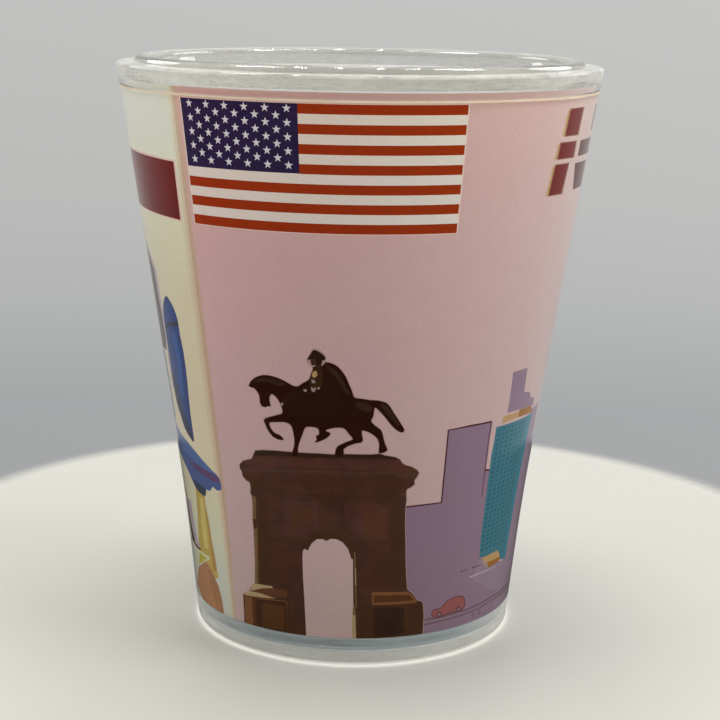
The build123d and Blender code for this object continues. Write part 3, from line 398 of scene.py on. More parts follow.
    ("bronze_hi", [(6.83, 28.1), (7.33, 28.09), (8.21, 27.95), (9.1, 27.72), (9.95, 27.35), (10.83, 26.88), (11.54, 26.46), (12.09, 26.13), (12.48, 25.85), (12.52, 25.73), (12.06, 25.83), (11.25, 26.08), (10.41, 26.37), (9.59, 26.71), (8.74, 27.09), (8.02, 27.43), (7.41, 27.72), (6.93, 27.97)]),
    ("rider_coat", [(-11.15, 31.55), (-9.51, 31.78), (-8.74, 30.99), (-9.06, 29.87), (-10.74, 29.43), (-12.67, 29.69), (-12.18, 30.62)]),
    ("glint", [(-11.45, 31.19), (-10.49, 31.28), (-10.24, 30.86), (-11.08, 30.54), (-11.81, 30.73)]),
    ("glint_soft", [(-11.92, 30.42), (-10.96, 30.29), (-10.84, 30.04), (-11.81, 30.02)]),
    ("reins", [(-20.33, 27.59), (-18.15, 28.48), (-14.65, 29.09), (-12.09, 29.46), (-12.17, 29.55), (-14.74, 29.18), (-18.3, 28.56), (-20.54, 27.65)]),
    ("glint_soft", [(-14.25, 29.35), (-13.4, 29.34), (-13.34, 29.09), (-14.13, 29.1)]),
    ("glint_soft", [(-12.12, 29.66), (-11.43, 29.47), (-10.73, 29.64), (-10.95, 29.22), (-11.6, 29.08), (-12.06, 29.3)]),
    ("glint_soft", [(-10.46, 29.54), (-9.62, 29.69), (-9.63, 29.51), (-10.39, 29.36)]),
    ("glint_soft", [(-21.11, 27.73), (-20.41, 27.76), (-20.4, 27.48), (-21.07, 27.46)]),
    ("halo", [(-13.29, 32.21), (-12.33, 32.9), (-11.56, 33.47), (-10.22, 33.52), (-8.91, 33.23), (-7.81, 32.82), (-7.88, 32.22), (-8.97, 31.79), (-11.15, 31.57), (-12.42, 31.72)]),
    ("rider_face", [(-11.81, 32.59), (-11.96, 32.52), (-11.94, 32.42), (-11.94, 32.34), (-12.03, 32.28), (-12.12, 32.24), (-12.17, 32.2), (-12.12, 32.18), (-12.03, 32.16), (-11.96, 32.14), (-11.95, 32.1), (-11.97, 32.05), (-11.97, 32.01), (-11.91, 31.95), (-11.83, 31.89), (-11.71, 31.84), (-11.52, 31.81), (-11.28, 31.79), (-11.06, 31.8), (-10.84, 31.85), (-10.63, 31.93), (-10.45, 32.02), (-10.27, 32.13), (-10.1, 32.26), (-10.02, 32.38), (-10.01, 32.48), (-10.07, 32.58), (-10.27, 32.64), (-10.74, 32.66), (-11.36, 32.64)]),
    ("rider_hair", [(-10.68, 32.57), (-10.27, 32.63), (-9.67, 32.66), (-9.2, 32.64), (-8.98, 32.56), (-8.89, 32.43), (-8.87, 32.3), (-8.91, 32.16), (-9.04, 32.02), (-9.24, 31.89), (-9.57, 31.77), (-9.99, 31.67), (-10.33, 31.62), (-10.56, 31.63), (-10.72, 31.68), (-10.79, 31.76), (-10.71, 31.86), (-10.54, 31.98), (-10.44, 32.12), (-10.54, 32.27), (-10.71, 32.44)]),
    ("rider_coat", [(-11.56, 31.62), (-10.05, 31.87), (-8.97, 31.89), (-8.99, 31.49), (-11.45, 31.24)]),
    ("rider_hat", [(-12.92, 32.39), (-12.75, 32.52), (-12.42, 32.71), (-12.09, 32.89), (-11.83, 33.06), (-11.58, 33.22), (-11.3, 33.33), (-11.01, 33.38), (-10.7, 33.37), (-10.37, 33.33), (-10, 33.28), (-9.62, 33.2), (-9.23, 33.1), (-8.82, 33), (-8.41, 32.88), (-8.13, 32.75), (-8.05, 32.62), (-8.1, 32.48), (-8.25, 32.39), (-8.49, 32.36), (-8.81, 32.37), (-9.21, 32.39), (-9.71, 32.43), (-10.28, 32.48), (-10.82, 32.5), (-11.32, 32.47), (-11.78, 32.41), (-12.18, 32.36), (-12.53, 32.34), (-12.81, 32.34)]),
    ("orn_gold", [(55.53, 55.8), (57.04, 55.84), (56.33, 53.32), (54.82, 53.28)]),
    ("orn_line", [(56.45, 55.95), (64.53, 55.96), (63.83, 53.19), (55.91, 53.24)]),
    ("maroon", [(57.04, 55.84), (63.94, 55.88), (63, 53.32), (56.33, 53.32)]),
    ("orn_gold", [(53.54, 52.59), (54.99, 52.63), (54.5, 51.12), (53.06, 51.08)]),
    ("orn_line", [(54.43, 52.74), (63.58, 52.69), (63.71, 50.98), (54.11, 51.04)]),
    ("maroon", [(54.99, 52.63), (63.01, 52.61), (62.87, 51.1), (54.5, 51.12)]),
    ("orn_gold", [(52.79, 50.46), (54.22, 50.5), (53.21, 47.59), (51.79, 47.56)]),
    ("orn_line", [(53.66, 50.61), (61.24, 50.59), (60.17, 47.48), (52.82, 47.51)]),
    ("maroon", [(54.22, 50.5), (60.72, 50.5), (59.45, 47.61), (53.21, 47.59)]),
    ("maroon_soft", [(75.7, 55.86), (78.47, 56.05), (77.77, 53.34), (75.37, 53.34)]),
    ("maroon_soft", [(66.3, 52.6), (78.51, 52.66), (79.57, 50.96), (66.24, 51.04)]),
    ("maroon_soft", [(65.24, 50.38), (78.51, 50.3), (77.22, 47.67), (67.37, 47.65)]),
    ("mar_line", [(-77.61, 51.07), (-48.34, 50.67), (-48.59, 44.68), (-77.79, 45.07)]),
    ("maroon", [(-78.62, 50.83), (-48.98, 50.5), (-49.27, 44.82), (-78.86, 45.16)]),
    ("plum_limb", [(-77.48, 44.53), (-77.67, 42.88), (-77.48, 41.66), (-71.04, 38.6), (-70.63, 35.51), (-70.06, 33.45), (-70.05, 31.34), (-71.44, 30.18), (-78.35, 30.1), (-77.39, 32.3), (-77.29, 37.54)]),
    ("line_pale", [(-78.32, 43.44), (-77.94, 41.62), (-70.74, 38.6), (-70.18, 35.52), (-69.83, 33.46), (-69.8, 31.35), (-70.83, 28.94), (-71.34, 26.11), (-68.75, 26.35), (-68.59, 29.13), (-67.99, 31.51), (-68.04, 33.6), (-68.34, 35.67), (-68.77, 38.76), (-76.48, 41.59), (-77.36, 43.53)]),
    ("blue_limb", [(-78.35, 30.1), (-73.92, 29.96), (-74.03, 27.71), (-73.63, 25.38), (-73.54, 23.12), (-77.06, 21.38), (-77.31, 22.67), (-77.54, 26.96)]),
    ("plume", [(-62.9, 16.08), (-56.56, 15.75), (-56.74, 14.64), (-55.91, 13.06), (-55.41, 10.9), (-54.45, 9.32), (-53.79, 7.71), (-53.32, 6.86), (-62.04, 5.81), (-66.82, 8.94), (-65.49, 11.09), (-63.91, 13.46)]),
    ("plume_hi", [(-60.56, 15.19), (-57.92, 15.31), (-58.23, 11.75), (-58.65, 9.72), (-61.6, 9.44), (-61.89, 11.98)]),
    ("plume_lo", [(-56.74, 15.52), (-56.74, 14.64), (-55.91, 13.06), (-55.41, 10.9), (-54.45, 9.32), (-53.79, 7.71), (-56.39, 7.25), (-56.87, 10.21), (-56.9, 13.53)]),
    ("line_brown", [(-76.63, 14.81), (-77.22, 12.97), (-77.08, 10.86), (-75.7, 9.06), (-67.07, 8.62), (-64.8, 8.99), (-70.72, 9.16), (-73.44, 10.9), (-75.15, 12.97), (-75.99, 14.79)]),
    ("line_pale", [(-75.59, 13.67), (-73.26, 11.67), (-71.09, 9.73), (-67.71, 8.94), (-65.73, 9.19), (-68.04, 10.08), (-69.49, 11.83), (-70.3, 13.98)]),
    ("rust", [(-69.96, 6.6), (-61.18, 7.92), (-57.74, 7.35), (-53.85, 5.91), (-52.43, 4.47), (-51.81, 2.72), (-59.53, 2.67), (-69.73, 2.76), (-75.94, 4.19)]),
    ("rust_lo", [(-57.74, 7.35), (-53.85, 5.91), (-52.43, 4.47), (-51.81, 2.72), (-55.78, 2.69), (-58.77, 4.78), (-61.05, 7.03)]),
    ("tri_line", [(-70.56, 8.74), (-57.83, 8.81), (-58.31, 8.43), (-75.78, 6.1)]),
    ("tri", [(-66.89, 8.49), (-60.47, 8.41), (-68.94, 6.95)]),
    ("shut_line", [(-63.57, 36.45), (-62.22, 36.36), (-61.01, 36.06), (-59.95, 35.74), (-59.06, 35.35), (-58.34, 34.87), (-57.84, 34.28), (-57.7, 33.54), (-57.64, 32.74), (-57.38, 32.01), (-57.13, 31.22), (-57.03, 30.21), (-57.06, 29.13), (-57.31, 28.06), (-57.66, 26.98), (-58, 25.86), (-58.29, 24.81), (-58.38, 23.98), (-58.43, 23.2), (-58.43, 22.17), (-58.72, 21.37), (-59.85, 21.34), (-61.37, 21.63), (-63.03, 21.93), (-64.68, 22.34), (-65.85, 22.94), (-66.79, 23.58), (-67.76, 24.02), (-68.61, 24.51), (-69.23, 25.2), (-69.57, 26.05), (-69.5, 27.09), (-69.28, 28.21), (-69.15, 29.28), (-69.02, 30.35), (-68.92, 31.45), (-68.79, 32.48), (-68.65, 33.33), (-68.31, 34.09), (-67.72, 34.81), (-66.76, 35.46), (-65.18, 36.07)]),
    ("shuttle", [(-63.54, 36.33), (-62.42, 36.26), (-61.38, 36), (-60.34, 35.7), (-59.42, 35.3), (-58.7, 34.83), (-58.19, 34.25), (-58.05, 33.51), (-58, 32.71), (-57.73, 31.98), (-57.48, 31.18), (-57.38, 30.18), (-57.42, 29.09), (-57.68, 28.02), (-58.03, 26.94), (-58.38, 25.82), (-58.68, 24.77), (-58.79, 23.94), (-58.83, 23.16), (-58.74, 22.18), (-58.87, 21.43), (-59.72, 21.41), (-60.96, 21.7), (-62.53, 21.99), (-64.15, 22.41), (-65.27, 23.01), (-66.17, 23.64), (-67.08, 24.1), (-67.86, 24.58), (-68.41, 25.28), (-68.71, 26.13), (-68.66, 27.17), (-68.48, 28.28), (-68.38, 29.35), (-68.28, 30.42), (-68.2, 31.51), (-68.08, 32.54), (-67.96, 33.39), (-67.66, 34.14), (-67.09, 34.86), (-66.21, 35.49), (-64.9, 36.02)]),
    ("shut_dark", [(-67.52, 33.37), (-57.97, 34.16), (-57.92, 33.64), (-64.49, 33.16), (-67.57, 32.73)]),
    ("shut_dark", [(-68.76, 28.26), (-67.61, 28.17), (-66.42, 27.59), (-65.76, 26.73), (-65.18, 25.76), (-64.6, 24.93), (-63.72, 24.16), (-62.05, 23.54), (-60.45, 22.92), (-59.34, 22.08), (-58.87, 21.43), (-59.62, 21.43), (-60.96, 21.7), (-62.53, 21.99), (-64.15, 22.41), (-65.27, 23.01), (-66.17, 23.64), (-67.08, 24.1), (-67.86, 24.58), (-68.39, 25.28), (-68.71, 26.13), (-68.96, 27.33)]),
    ("shut_hi", [(-63.49, 32.65), (-60.16, 32.77), (-59.67, 29.78), (-61.11, 26.18), (-63.31, 25.91), (-62.65, 28.93)]),
    ("wing", [(-78.34, 23.12), (-77.59, 22.55), (-74.21, 21.53), (-68.17, 21.27), (-64.99, 21.04), (-62.44, 20.77), (-60, 20.48), (-57.35, 20.1), (-54.78, 19.71), (-52.39, 19.33), (-50.22, 18.98), (-48.23, 18.71), (-46.77, 18.38), (-46.15, 17.78), (-46.26, 17.22), (-47.38, 16.97), (-48.85, 16.89), (-49.9, 17.03), (-50.83, 17.15), (-51.71, 16.85), (-52.64, 16.51), (-53.89, 16.51), (-55.06, 16.48), (-55.44, 16.06), (-55.98, 15.66), (-57.84, 15.64), (-60.05, 15.75), (-61.58, 15.87), (-62.9, 16.08), (-64.24, 16.41), (-65.68, 16.83), (-67.44, 17.36), (-70.01, 17.87), (-74.48, 18.45), (-77.63, 19.14), (-77.08, 20.26), (-77.06, 21.38), (-76.61, 22.59)]),
    ("wing_hi", [(-76.68, 22.18), (-66.06, 20.95), (-58.81, 20.25), (-53.25, 19.4), (-49.33, 18.72), (-54.37, 18.66), (-61.19, 19.29), (-71.15, 19.63), (-76.94, 20.74)]),
    ("magenta", [(-64.66, 18.78), (-57.31, 18.91), (-51.54, 18.61), (-46.89, 18.33), (-46.78, 17.89), (-50.48, 17.72), (-55.45, 18.03), (-60.72, 18.24)]),
    ("teal_tail", [(-64.11, 16.97), (-59.86, 16.79), (-55.89, 16.63), (-55.06, 16.48), (-55.98, 15.66), (-60.05, 15.75), (-62.9, 16.08)]),
]

for ink, outline in DRAWING:
    put(ink, outline)
    if ink == "teal_edge":
        windows("window", TOWER[0], TOWER[1], TOWER[2], TOWER[3], 7, 27, 0.62, 0.145, TOWER[4])

# the far side, which carries on in the same manner
def block(ink, line, x0, x1, top, lean=0.0, side=None):
    put(line, [(x0 - 0.25, 3.0), (x1 + 0.25, 3.0), (x1 + 0.25, top + lean + 0.12), (x0 - 0.25, top + 0.12)])
    put(ink, [(x0, 3.0), (x1, 3.0), (x1, top + lean), (x0, top)])
    if side:
        put(side, [(x1 - (x1 - x0) * 0.22, 3.0), (x1, 3.0), (x1, top + lean), (x1 - (x1 - x0) * 0.22, top + lean * 0.78)])


for x0, x1, top, ink in ((88.2, 99, 19.0, "purple"), (97, 104, 33.5, "teal"), (104, 118, 15.5, "purple"),
                         (116, 126, 27.0, "purple"), (124, 133, 22.0, "teal"), (131, 148, 12.5, "purple"),
                         (145, 153, 30.0, "purple"), (151, 168, 17.6, "purple"), (160, 166, 25.5, "teal")):
    block(ink, "outline", x0, x1, top, 0.35, "purple_dark" if ink == "purple" else "teal_edge")
    nx = max(2, int((x1 - x0) / 2.4))
    windows("window" if ink == "teal" else "purple_dark", x0 + 0.8, x1 - 0.8 - (x1 - x0) * 0.2,
            6.5, top - 0.8, nx, max(2, int((top - 7) / 1.5)), 0.42, 0.3, 0.0)
put("road", rect(86, 174, 4.3, 5.2))
put("line_dark", rect(86, 174, 5.2, 5.42))
put("line_dark", rect(86, 174, 4.1, 4.3))
for k in range(3):
    c = 112 + 27 * k
    put("orn_gold", [(c - 6.6, 42.5), (c - 5.2, 42.5), (c - 2.2, 52.5), (c - 3.6, 52.5)])
    put("orn_line", [(c - 5.5, 42.2), (c + 0.6, 42.2), (c + 3.7, 52.8), (c - 2.5, 52.8)])
    put("maroon", [(c - 5.2, 42.5), (c + 0.2, 42.5), (c + 3.2, 52.5), (c - 2.2, 52.5)])
# cream panel, round to the seam: plain colour fields and a rayed badge
for k, x in enumerate((-172, -150, -128)):
    put("mar_line", rect(x - 0.4, x + 14.4, 44.6 - 0.1, 51.9 + 0.1))
    put("maroon", rect(x, x + 14, 44.6, 51.9))
for k in range(9):
    a0, a1 = math.pi * (k - 0.28) / 8, math.pi * (k + 0.28) / 8
    put("plume" if k % 2 else "rust", [(-140 + 3.0 * math.cos(a0) * 2.9, 20 + 3.0 * math.sin(a0)), (-140 + 8.6 * math.cos(a0) * 2.9, 20 + 8.6 * math.sin(a0)),
                                       (-140 + 8.6 * math.cos(a1) * 2.9, 20 + 8.6 * math.sin(a1)), (-140 + 3.0 * math.cos(a1) * 2.9, 20 + 3.0 * math.sin(a1))])
put("tri_line", [(-140 + 2.6 * 2.9 * math.cos(t), 20 + 2.6 * math.sin(t)) for t in np.linspace(0, math.pi, 17)])
put("tri", [(-140 + 2.1 * 2.9 * math.cos(t), 20.1 + 2.1 * math.sin(t)) for t in np.linspace(0, math.pi, 17)])
put("shuttle", [(-172, 14), (-158, 19.2), (-146, 15.5), (-132, 18.8), (-118, 15), (-104, 18.4), (-92, 15.5), (-86, 17), (-86, 11.5), (-172, 11.5)])
put("shut_hi", [(-172, 12.9), (-160, 14.6), (-148, 12.8), (-134, 14.6), (-120, 12.9), (-106, 14.5), (-94, 12.8), (-86, 13.8), (-86, 11.5), (-172, 11.5)])
put("shut_dark", rect(-172, -86, 10.6, 11.5))
put("lap_line", rect(-180, -179.55, 3.0, 58.0))


# ------------------------------------------------------------------ colours
def linear(c):
    c = np.asarray(c, float) / 255.0
    return np.where(c > 0.04045, ((c + 0.055) / 1.055) ** 2.4, c / 12.92)


# ink: (colour, second colour of the mottle, how strongly the mottle shows)
INK = {
    "pink": ((217, 181, 181), (211, 175, 177), 0.35),
    "pink_mid": ((223, 186, 187), (230, 193, 194), 0.3),
    "halo": ((187, 150, 143), (195, 159, 152), 0.3),
    "cream": ((240, 226, 192), (240, 232, 202), 0.35),
    "tan1": ((234, 216, 188), (234, 223, 196), 0.3),
    "tan2": ((227, 199, 170), (233, 206, 180), 0.3),
    "tan3": ((208, 176, 150), (212, 180, 156), 0.3),
    "tan4": ((212, 177, 159), (212, 179, 163), 0.3),
    "flag_rim": ((247, 212, 205), (247, 218, 211), 0.2),
    "flag_white": ((232, 224, 218), (226, 215, 209), 0.2),
    "flag_red": ((161, 52, 7), (150, 49, 8), 0.3),
    "canton": ((48, 35, 78), (38, 27, 63), 0.5),
    "star": ((219, 223, 237), (211, 214, 228), 0.2),
    "purple": ((154, 124, 147), (150, 119, 143), 0.3),
    "purple_dark": ((153, 123, 144), (149, 118, 140), 0.3),
    "purple_light": ((160, 133, 155), (154, 127, 149), 0.3),
    "outline": ((89, 47, 55), (99, 55, 62), 0.3),
    "plum_edge": ((123, 86, 103), (116, 80, 96), 0.3),
    "teal": ((71, 122, 142), (77, 130, 147), 0.3),
    "teal_edge": ((64, 131, 158), (59, 126, 151), 0.3),
    "window": ((49, 108, 128), (55, 115, 136), 0.2),
    "gold": ((199, 156, 109), (205, 163, 118), 0.3),
    "gold_dark": ((168, 108, 46), (174, 113, 51), 0.3),
    "gold_pink": ((191, 151, 143), (187, 147, 137), 0.3),
    "line_pale": ((196, 172, 190), (200, 178, 194), 0.2),
    "line_dark": ((120, 90, 109), (127, 96, 116), 0.2),
    "road": ((150, 127, 143), (146, 122, 138), 0.3),
    "pillar": ((137, 108, 128), (132, 102, 122), 0.3),
    "car_line": ((95, 59, 75), (99, 62, 79), 0.3),
    "car": ((164, 95, 96), (156, 89, 91), 0.3),
    "car_light": ((168, 94, 95), (163, 90, 91), 0.3),
    "wheel": ((152, 113, 126), (163, 123, 135), 0.2),
    "stone": ((91, 54, 38), (69, 42, 31), 0.7),
    "stone_top": ((64, 39, 24), (52, 32, 21), 0.6),
    "stone_hi": ((98, 58, 46), (79, 46, 37), 0.6),
    "stone_mid": ((94, 61, 49), (77, 51, 42), 0.6),
    "stone_lo": ((89, 51, 35), (73, 42, 30), 0.6),
    "stone_dark": ((84, 50, 30), (70, 43, 28), 0.6),
    "stone_rust": ((101, 58, 37), (86, 51, 36), 0.6),
    "gold_edge": ((135, 98, 66), (115, 83, 57), 0.5),
    "gold_pale": ((198, 166, 126), (181, 149, 113), 0.4),
    "base_tan": ((116, 70, 48), (98, 58, 42), 0.6),
    "base_hi": ((144, 93, 56), (122, 76, 47), 0.6),
    "base_brown": ((102, 60, 32), (85, 51, 28), 0.6),
    "base_deep": ((64, 39, 28), (52, 32, 24), 0.6),
    "bronze": ((48, 14, 7), (63, 19, 8), 0.5),
    "bronze_hi": ((60, 40, 24), (70, 47, 27), 0.5),
    "bronze_mid": ((49, 19, 7), (58, 22, 8), 0.5),
    "rider_coat": ((62, 36, 20), (78, 46, 24), 0.5),
    "glint": ((202, 166, 112), (182, 148, 100), 0.4),
    "glint_soft": ((175, 156, 142), (153, 134, 125), 0.4),
    "reins": ((48, 46, 18), (40, 39, 15), 0.4),
    "rider_face": ((72, 46, 34), (66, 42, 33), 0.3),
    "rider_hair": ((46, 24, 18), (54, 28, 20), 0.3),
    "rider_hat": ((50, 26, 20), (60, 31, 23), 0.4),
    "orn_gold": ((199, 158, 116), (191, 149, 107), 0.3),
    "orn_line": ((145, 97, 73), (150, 102, 78), 0.3),
    "maroon": ((119, 24, 17), (114, 22, 16), 0.4),
    "maroon_soft": ((90, 26, 19), (86, 24, 18), 0.4),
    "mar_line": ((247, 196, 179), (236, 184, 167), 0.3),
    "plum_limb": ((73, 35, 33), (69, 34, 32), 0.4),
    "blue_limb": ((124, 142, 162), (132, 146, 164), 0.4),
    "plume": ((208, 177, 96), (194, 160, 87), 0.5),
    "plume_hi": ((226, 203, 123), (219, 194, 114), 0.5),
    "plume_lo": ((192, 148, 83), (184, 141, 81), 0.5),
    "line_brown": ((95, 56, 20), (102, 62, 23), 0.3),
    "rust": ((190, 134, 98), (178, 124, 90), 0.5),
    "rust_lo": ((176, 124, 88), (166, 116, 82), 0.5),
    "tri_line": ((247, 228, 180), (239, 218, 170), 0.3),
    "tri": ((203, 188, 74), (192, 177, 71), 0.4),
    "shut_line": ((44, 52, 118), (50, 60, 131), 0.3),
    "shuttle": ((23, 62, 135), (20, 58, 130), 0.4),
    "shut_dark": ((22, 26, 60), (26, 30, 66), 0.4),
    "shut_hi": ((37, 88, 163), (35, 84, 158), 0.4),
    "wing": ((90, 106, 159), (82, 97, 151), 0.4),
    "wing_hi": ((97, 122, 176), (91, 115, 173), 0.4),
    "magenta": ((111, 82, 125), (105, 78, 118), 0.4),
    "teal_tail": ((69, 77, 94), (64, 72, 89), 0.4),
    "lap_line": ((176, 166, 150), (170, 160, 146), 0.3),
}

# painted light and shade: slow tone drift laid into the print's colours for how the light falls on it: from azimuth, to
# azimuth, terms for red, green and blue
PAINTED_LIGHT_DRIFT = [
    (-45.5, 400.0, [[0.0, -0.0699, 0.0048, 0.1277, 0.1455, -0.009], [0.0, -0.0115, -0.0545, 0.1639, 0.1423, 0.0563], [0.0, -0.041, -0.0625, 0.17, 0.0687, 0.0798]]),
    (-400.0, -45.5, [[0.0, 0.0, -0.0856, 0.0, 0.3169, 0.0], [0.0, 0.0, -0.0346, 0.0, 0.4676, 0.0], [0.0, 0.0, -0.0037, 0.0, 0.5949, 0.0]]),
]

# ------------------------------------------------------ cutting up the plan
Z0, Z1 = Z_SHEET0, Z_SHEET1
STEP_A, STEP_Z = 1.25, 2.1
CUTS = [-180, -150, -90, -30, 30, 90, 150, 180]    # the ends meet at the back


def cut_plan():
    pts, edges, seen = [], [], {}

    def at(x, y):
        key = (round(x, 5), round(y, 5))
        if key not in seen:
            seen[key] = len(pts)
            pts.append(Vector(key))
        return seen[key]

    def run(a, b):
        n = max(1, int(math.ceil(max(abs(a[0] - b[0]) / STEP_A, abs(a[1] - b[1]) / STEP_Z))))
        ids = [at(a[0] + (b[0] - a[0]) * k / n, a[1] + (b[1] - a[1]) * k / n) for k in range(n + 1)]
        edges.extend((p, q) for p, q in zip(ids, ids[1:]) if p != q)

    for ink, outline in SHAPES:
        for a, b in zip(outline, outline[1:] + outline[:1]):
            run(a, b)
    for x in CUTS:
        run((x, Z0), (x, Z1))
    run((-180, Z0), (180, Z0))
    run((-180, Z1), (180, Z1))
    rows = int((Z1 - Z0) / STEP_Z)
    for i in range(int(360 / STEP_A) + 1):
        for j in range(rows + 1):
            at(-180 + STEP_A * i, Z0 + (Z1 - Z0) * j / rows)
    co, _, tris, _, _, _ = delaunay_2d_cdt(pts, edges, [], 0, 1e-5)
    co = np.array([tuple(p) for p in co])
    tris = np.array([t for t in tris if len(t) == 3], int)
    mid = co[tris].mean(1)
    keep = (mid[:, 1] > Z0) & (mid[:, 1] < Z1) & (np.abs(mid[:, 0]) < 180)
    tris, mid = tris[keep], mid[keep]
    a, b, c = co[tris[:, 0]], co[tris[:, 1]], co[tris[:, 2]]
    area = (b[:, 0] - a[:, 0]) * (c[:, 1] - a[:, 1]) - (b[:, 1] - a[:, 1]) * (c[:, 0] - a[:, 0])
    tris[area < 0] = tris[area < 0][:, ::-1]
    good = np.abs(area) > 1e-9
    tris, mid = tris[good], mid[good]
    top = np.zeros(len(tris), int)
    for k, (ink, outline) in enumerate(SHAPES):
        p = np.array(outline)
        lo, hi = p.min(0), p.max(0)
        near = np.nonzero((mid >= lo).all(1) & (mid <= hi).all(1))[0]
        if not len(near):
            continue
        x, y = mid[near, 0][:, None], mid[near, 1][:, None]
        q = np.roll(p, -1, 0)
        side = (q[:, 0] - p[:, 0]) * (y - p[:, 1]) - (x - p[:, 0]) * (q[:, 1] - p[:, 1])
        turns = ((p[:, 1] <= y) & (q[:, 1] > y) & (side > 0)).sum(1) - ((p[:, 1] > y) & (q[:, 1] <= y) & (side < 0)).sum(1)
        top[near[turns != 0]] = k
    return co, tris, mid, top


PLAN, TRIS, MID, TOP = cut_plan()
NAMES = [ink for ink, _ in SHAPES]
A_OF = np.array([linear(INK[n][0]) for n in NAMES]) * GAIN
B_OF = np.array([linear(INK[n][1]) for n in NAMES]) * GAIN
S_OF = np.array([INK[n][2] for n in NAMES])


def painted_light_drift(co):
    """slow drift of the print's tone over the sheet, per colour channel: painted light and shade"""
    x, y = co[:, 0], co[:, 1]
    out = np.zeros((len(co), 3))
    for lo, hi, terms in PAINTED_LIGHT_DRIFT:
        u, v = np.clip(x, -62, 62) / 60.0, (y - 30.0) / 27.0
        basis = np.stack([np.ones(len(u)), u, v, u * u, v * v, u * v], 1)
        part = basis @ np.array(terms).T
        w = 1.0 / (1.0 + np.exp((lo - x) / 0.6)) * 1.0 / (1.0 + np.exp((x - hi) / 0.6))
        out += part * w[:, None]
    away = np.clip((np.abs(x) - 75.0) / 30.0, 0, 1)[:, None]
    return np.exp(np.clip(out, -0.45, 0.45) * (1 - away))


def place(co, r):
    a = np.radians(co[:, 0])
    return np.stack([r * np.sin(a), -r * np.cos(a), co[:, 1]], 1) * M


def sector(name, x0, x1):
    """one closed piece of the sheet: printed outside, plain paper inside"""
    pick = (MID[:, 0] > x0) & (MID[:, 0] < x1)
    tris, top = TRIS[pick], TOP[pick]
    used, inv = np.unique(tris, return_inverse=True)
    tris = inv.reshape(-1, 3)
    co = PLAN[used].copy()
    co[:, 1] = np.clip(co[:, 1], Z0, Z1)
    n = len(co)
    r_out = wall_r(co[:, 1]) - WALL - GAP
    verts = np.concatenate([place(co, r_out), place(co, r_out - SHEET_T)])
    # rim edges: those used by one triangle only
    e = np.concatenate([tris[:, [0, 1]], tris[:, [1, 2]], tris[:, [2, 0]]])
    key = np.sort(e, 1)
    _, first, count = np.unique(key, axis=0, return_index=True, return_counts=True)
    rim = e[first[count == 1]]
    faces = [tuple(t) for t in tris] + [tuple(t[::-1] + n) for t in tris]
    faces += [(int(b), int(a), int(a) + n, int(b) + n) for a, b in rim]
    mesh = bpy.data.meshes.new(name)
    mesh.from_pydata([tuple(v) for v in verts], [], [tuple(int(i) for i in f) for f in faces])
    ink_a = mesh.attributes.new("ink_a", "FLOAT_COLOR", "CORNER")
    ink_b = mesh.attributes.new("ink_b", "FLOAT_COLOR", "CORNER")
    loops = len(mesh.loops)
    ca, cb = np.ones((loops, 4)), np.ones((loops, 4))
    paper = linear((232, 229, 222)) * GAIN_PAPER
    ca[:, :3], cb[:, :3], cb[:, 3] = paper, paper * 0.96, 0.4
    t = len(tris)
    # painted light and shade: the ink colours are scaled by the tone drift
    tone = painted_light_drift(co[tris.ravel()])
    ca[:t * 3, :3] = np.clip(np.repeat(A_OF[top], 3, 0) * tone, 0.001, 0.95)
    cb[:t * 3, :3] = np.clip(np.repeat(B_OF[top], 3, 0) * tone, 0.001, 0.95)
    cb[:t * 3, 3] = np.repeat(S_OF[top], 3)
    ink_a.data.foreach_set("color", ca.astype(np.float32).ravel())
    ink_b.data.foreach_set("color", cb.astype(np.float32).ravel())
    # true surface directions, so that the triangles never show
    k = wall_slope(co[:, 1])
    a = np.radians(co[:, 0])
    nrm = np.stack([np.sin(a), -np.cos(a), -k], 1) / np.sqrt(1 + k * k)[:, None]
    corner = np.zeros((loops, 3))
    corner[:t * 3] = nrm[tris.ravel()]
    corner[t * 3:t * 6] = -nrm[tris[:, ::-1].ravel()]
    mesh.shade_smooth()
    corner_n = np.zeros(len(mesh.polygons) * 3)
    mesh.polygons.foreach_get("normal", corner_n)
    flat = corner_n.reshape(-1, 3)
    at = t * 6
    for i in range(len(rim)):
        corner[at:at + 4] = flat[2 * t + i]
        at += 4
    mesh.normals_split_custom_set([tuple(v) for v in corner])
    mesh.update()
    return link(mesh, name)


sheets = [sector("print_sector_%d" % (k + 1), a, b) for k, (a, b) in enumerate(zip(CUTS, CUTS[1:]))]


def overlap():
    """the sheet's own overlap at the back, lying inside the first layer"""
    half = 6.0
    cols, rows = 13, 28
    verts, faces = [], []
    for layer in (0, 1):
        for j in range(rows):
            z = Z0 + 0.02 + (Z1 - Z0 - 0.04) * j / (rows - 1)
            for i in range(cols):
                a = math.radians(180 - half + 2 * half * i / (cols - 1))
                r = float(wall_r(z)) - WALL - GAP - SHEET_T - 0.02 - layer * SHEET_T * 0.9
                verts.append((r * math.sin(a) * M, -r * math.cos(a) * M, z * M))
    n = cols * rows
    for j in range(rows - 1):
        for i in range(cols - 1):
            p = j * cols + i
            faces.append((p, p + 1, p + cols + 1, p + cols))
            faces.append((p + n, p + n + cols, p + n + cols + 1, p + n + 1))
    for j in range(rows - 1):
        p, q = j * cols, j * cols + cols - 1
        faces.append((p, p + cols, p + cols + n, p + n))
        faces.append((q, q + n, q + cols + n, q + cols))
    for i in range(cols - 1):
        p, q = i, (rows - 1) * cols + i
        faces.append((p, p + n, p + n + 1, p + 1))
        faces.append((q, q + 1, q + n + 1, q + n))
    mesh = bpy.data.meshes.new("print_overlap")
    mesh.from_pydata(verts, [], faces)
    bm = bmesh.new()
    bm.from_mesh(mesh)
    bmesh.ops.recalc_face_normals(bm, faces=bm.faces)
    bm.to_mesh(mesh)
    bm.free()
    mesh.shade_smooth()
    mesh.set_sharp_from_angle(angle=math.radians(32))
    return link(mesh, "print_overlap")


lap = overlap()

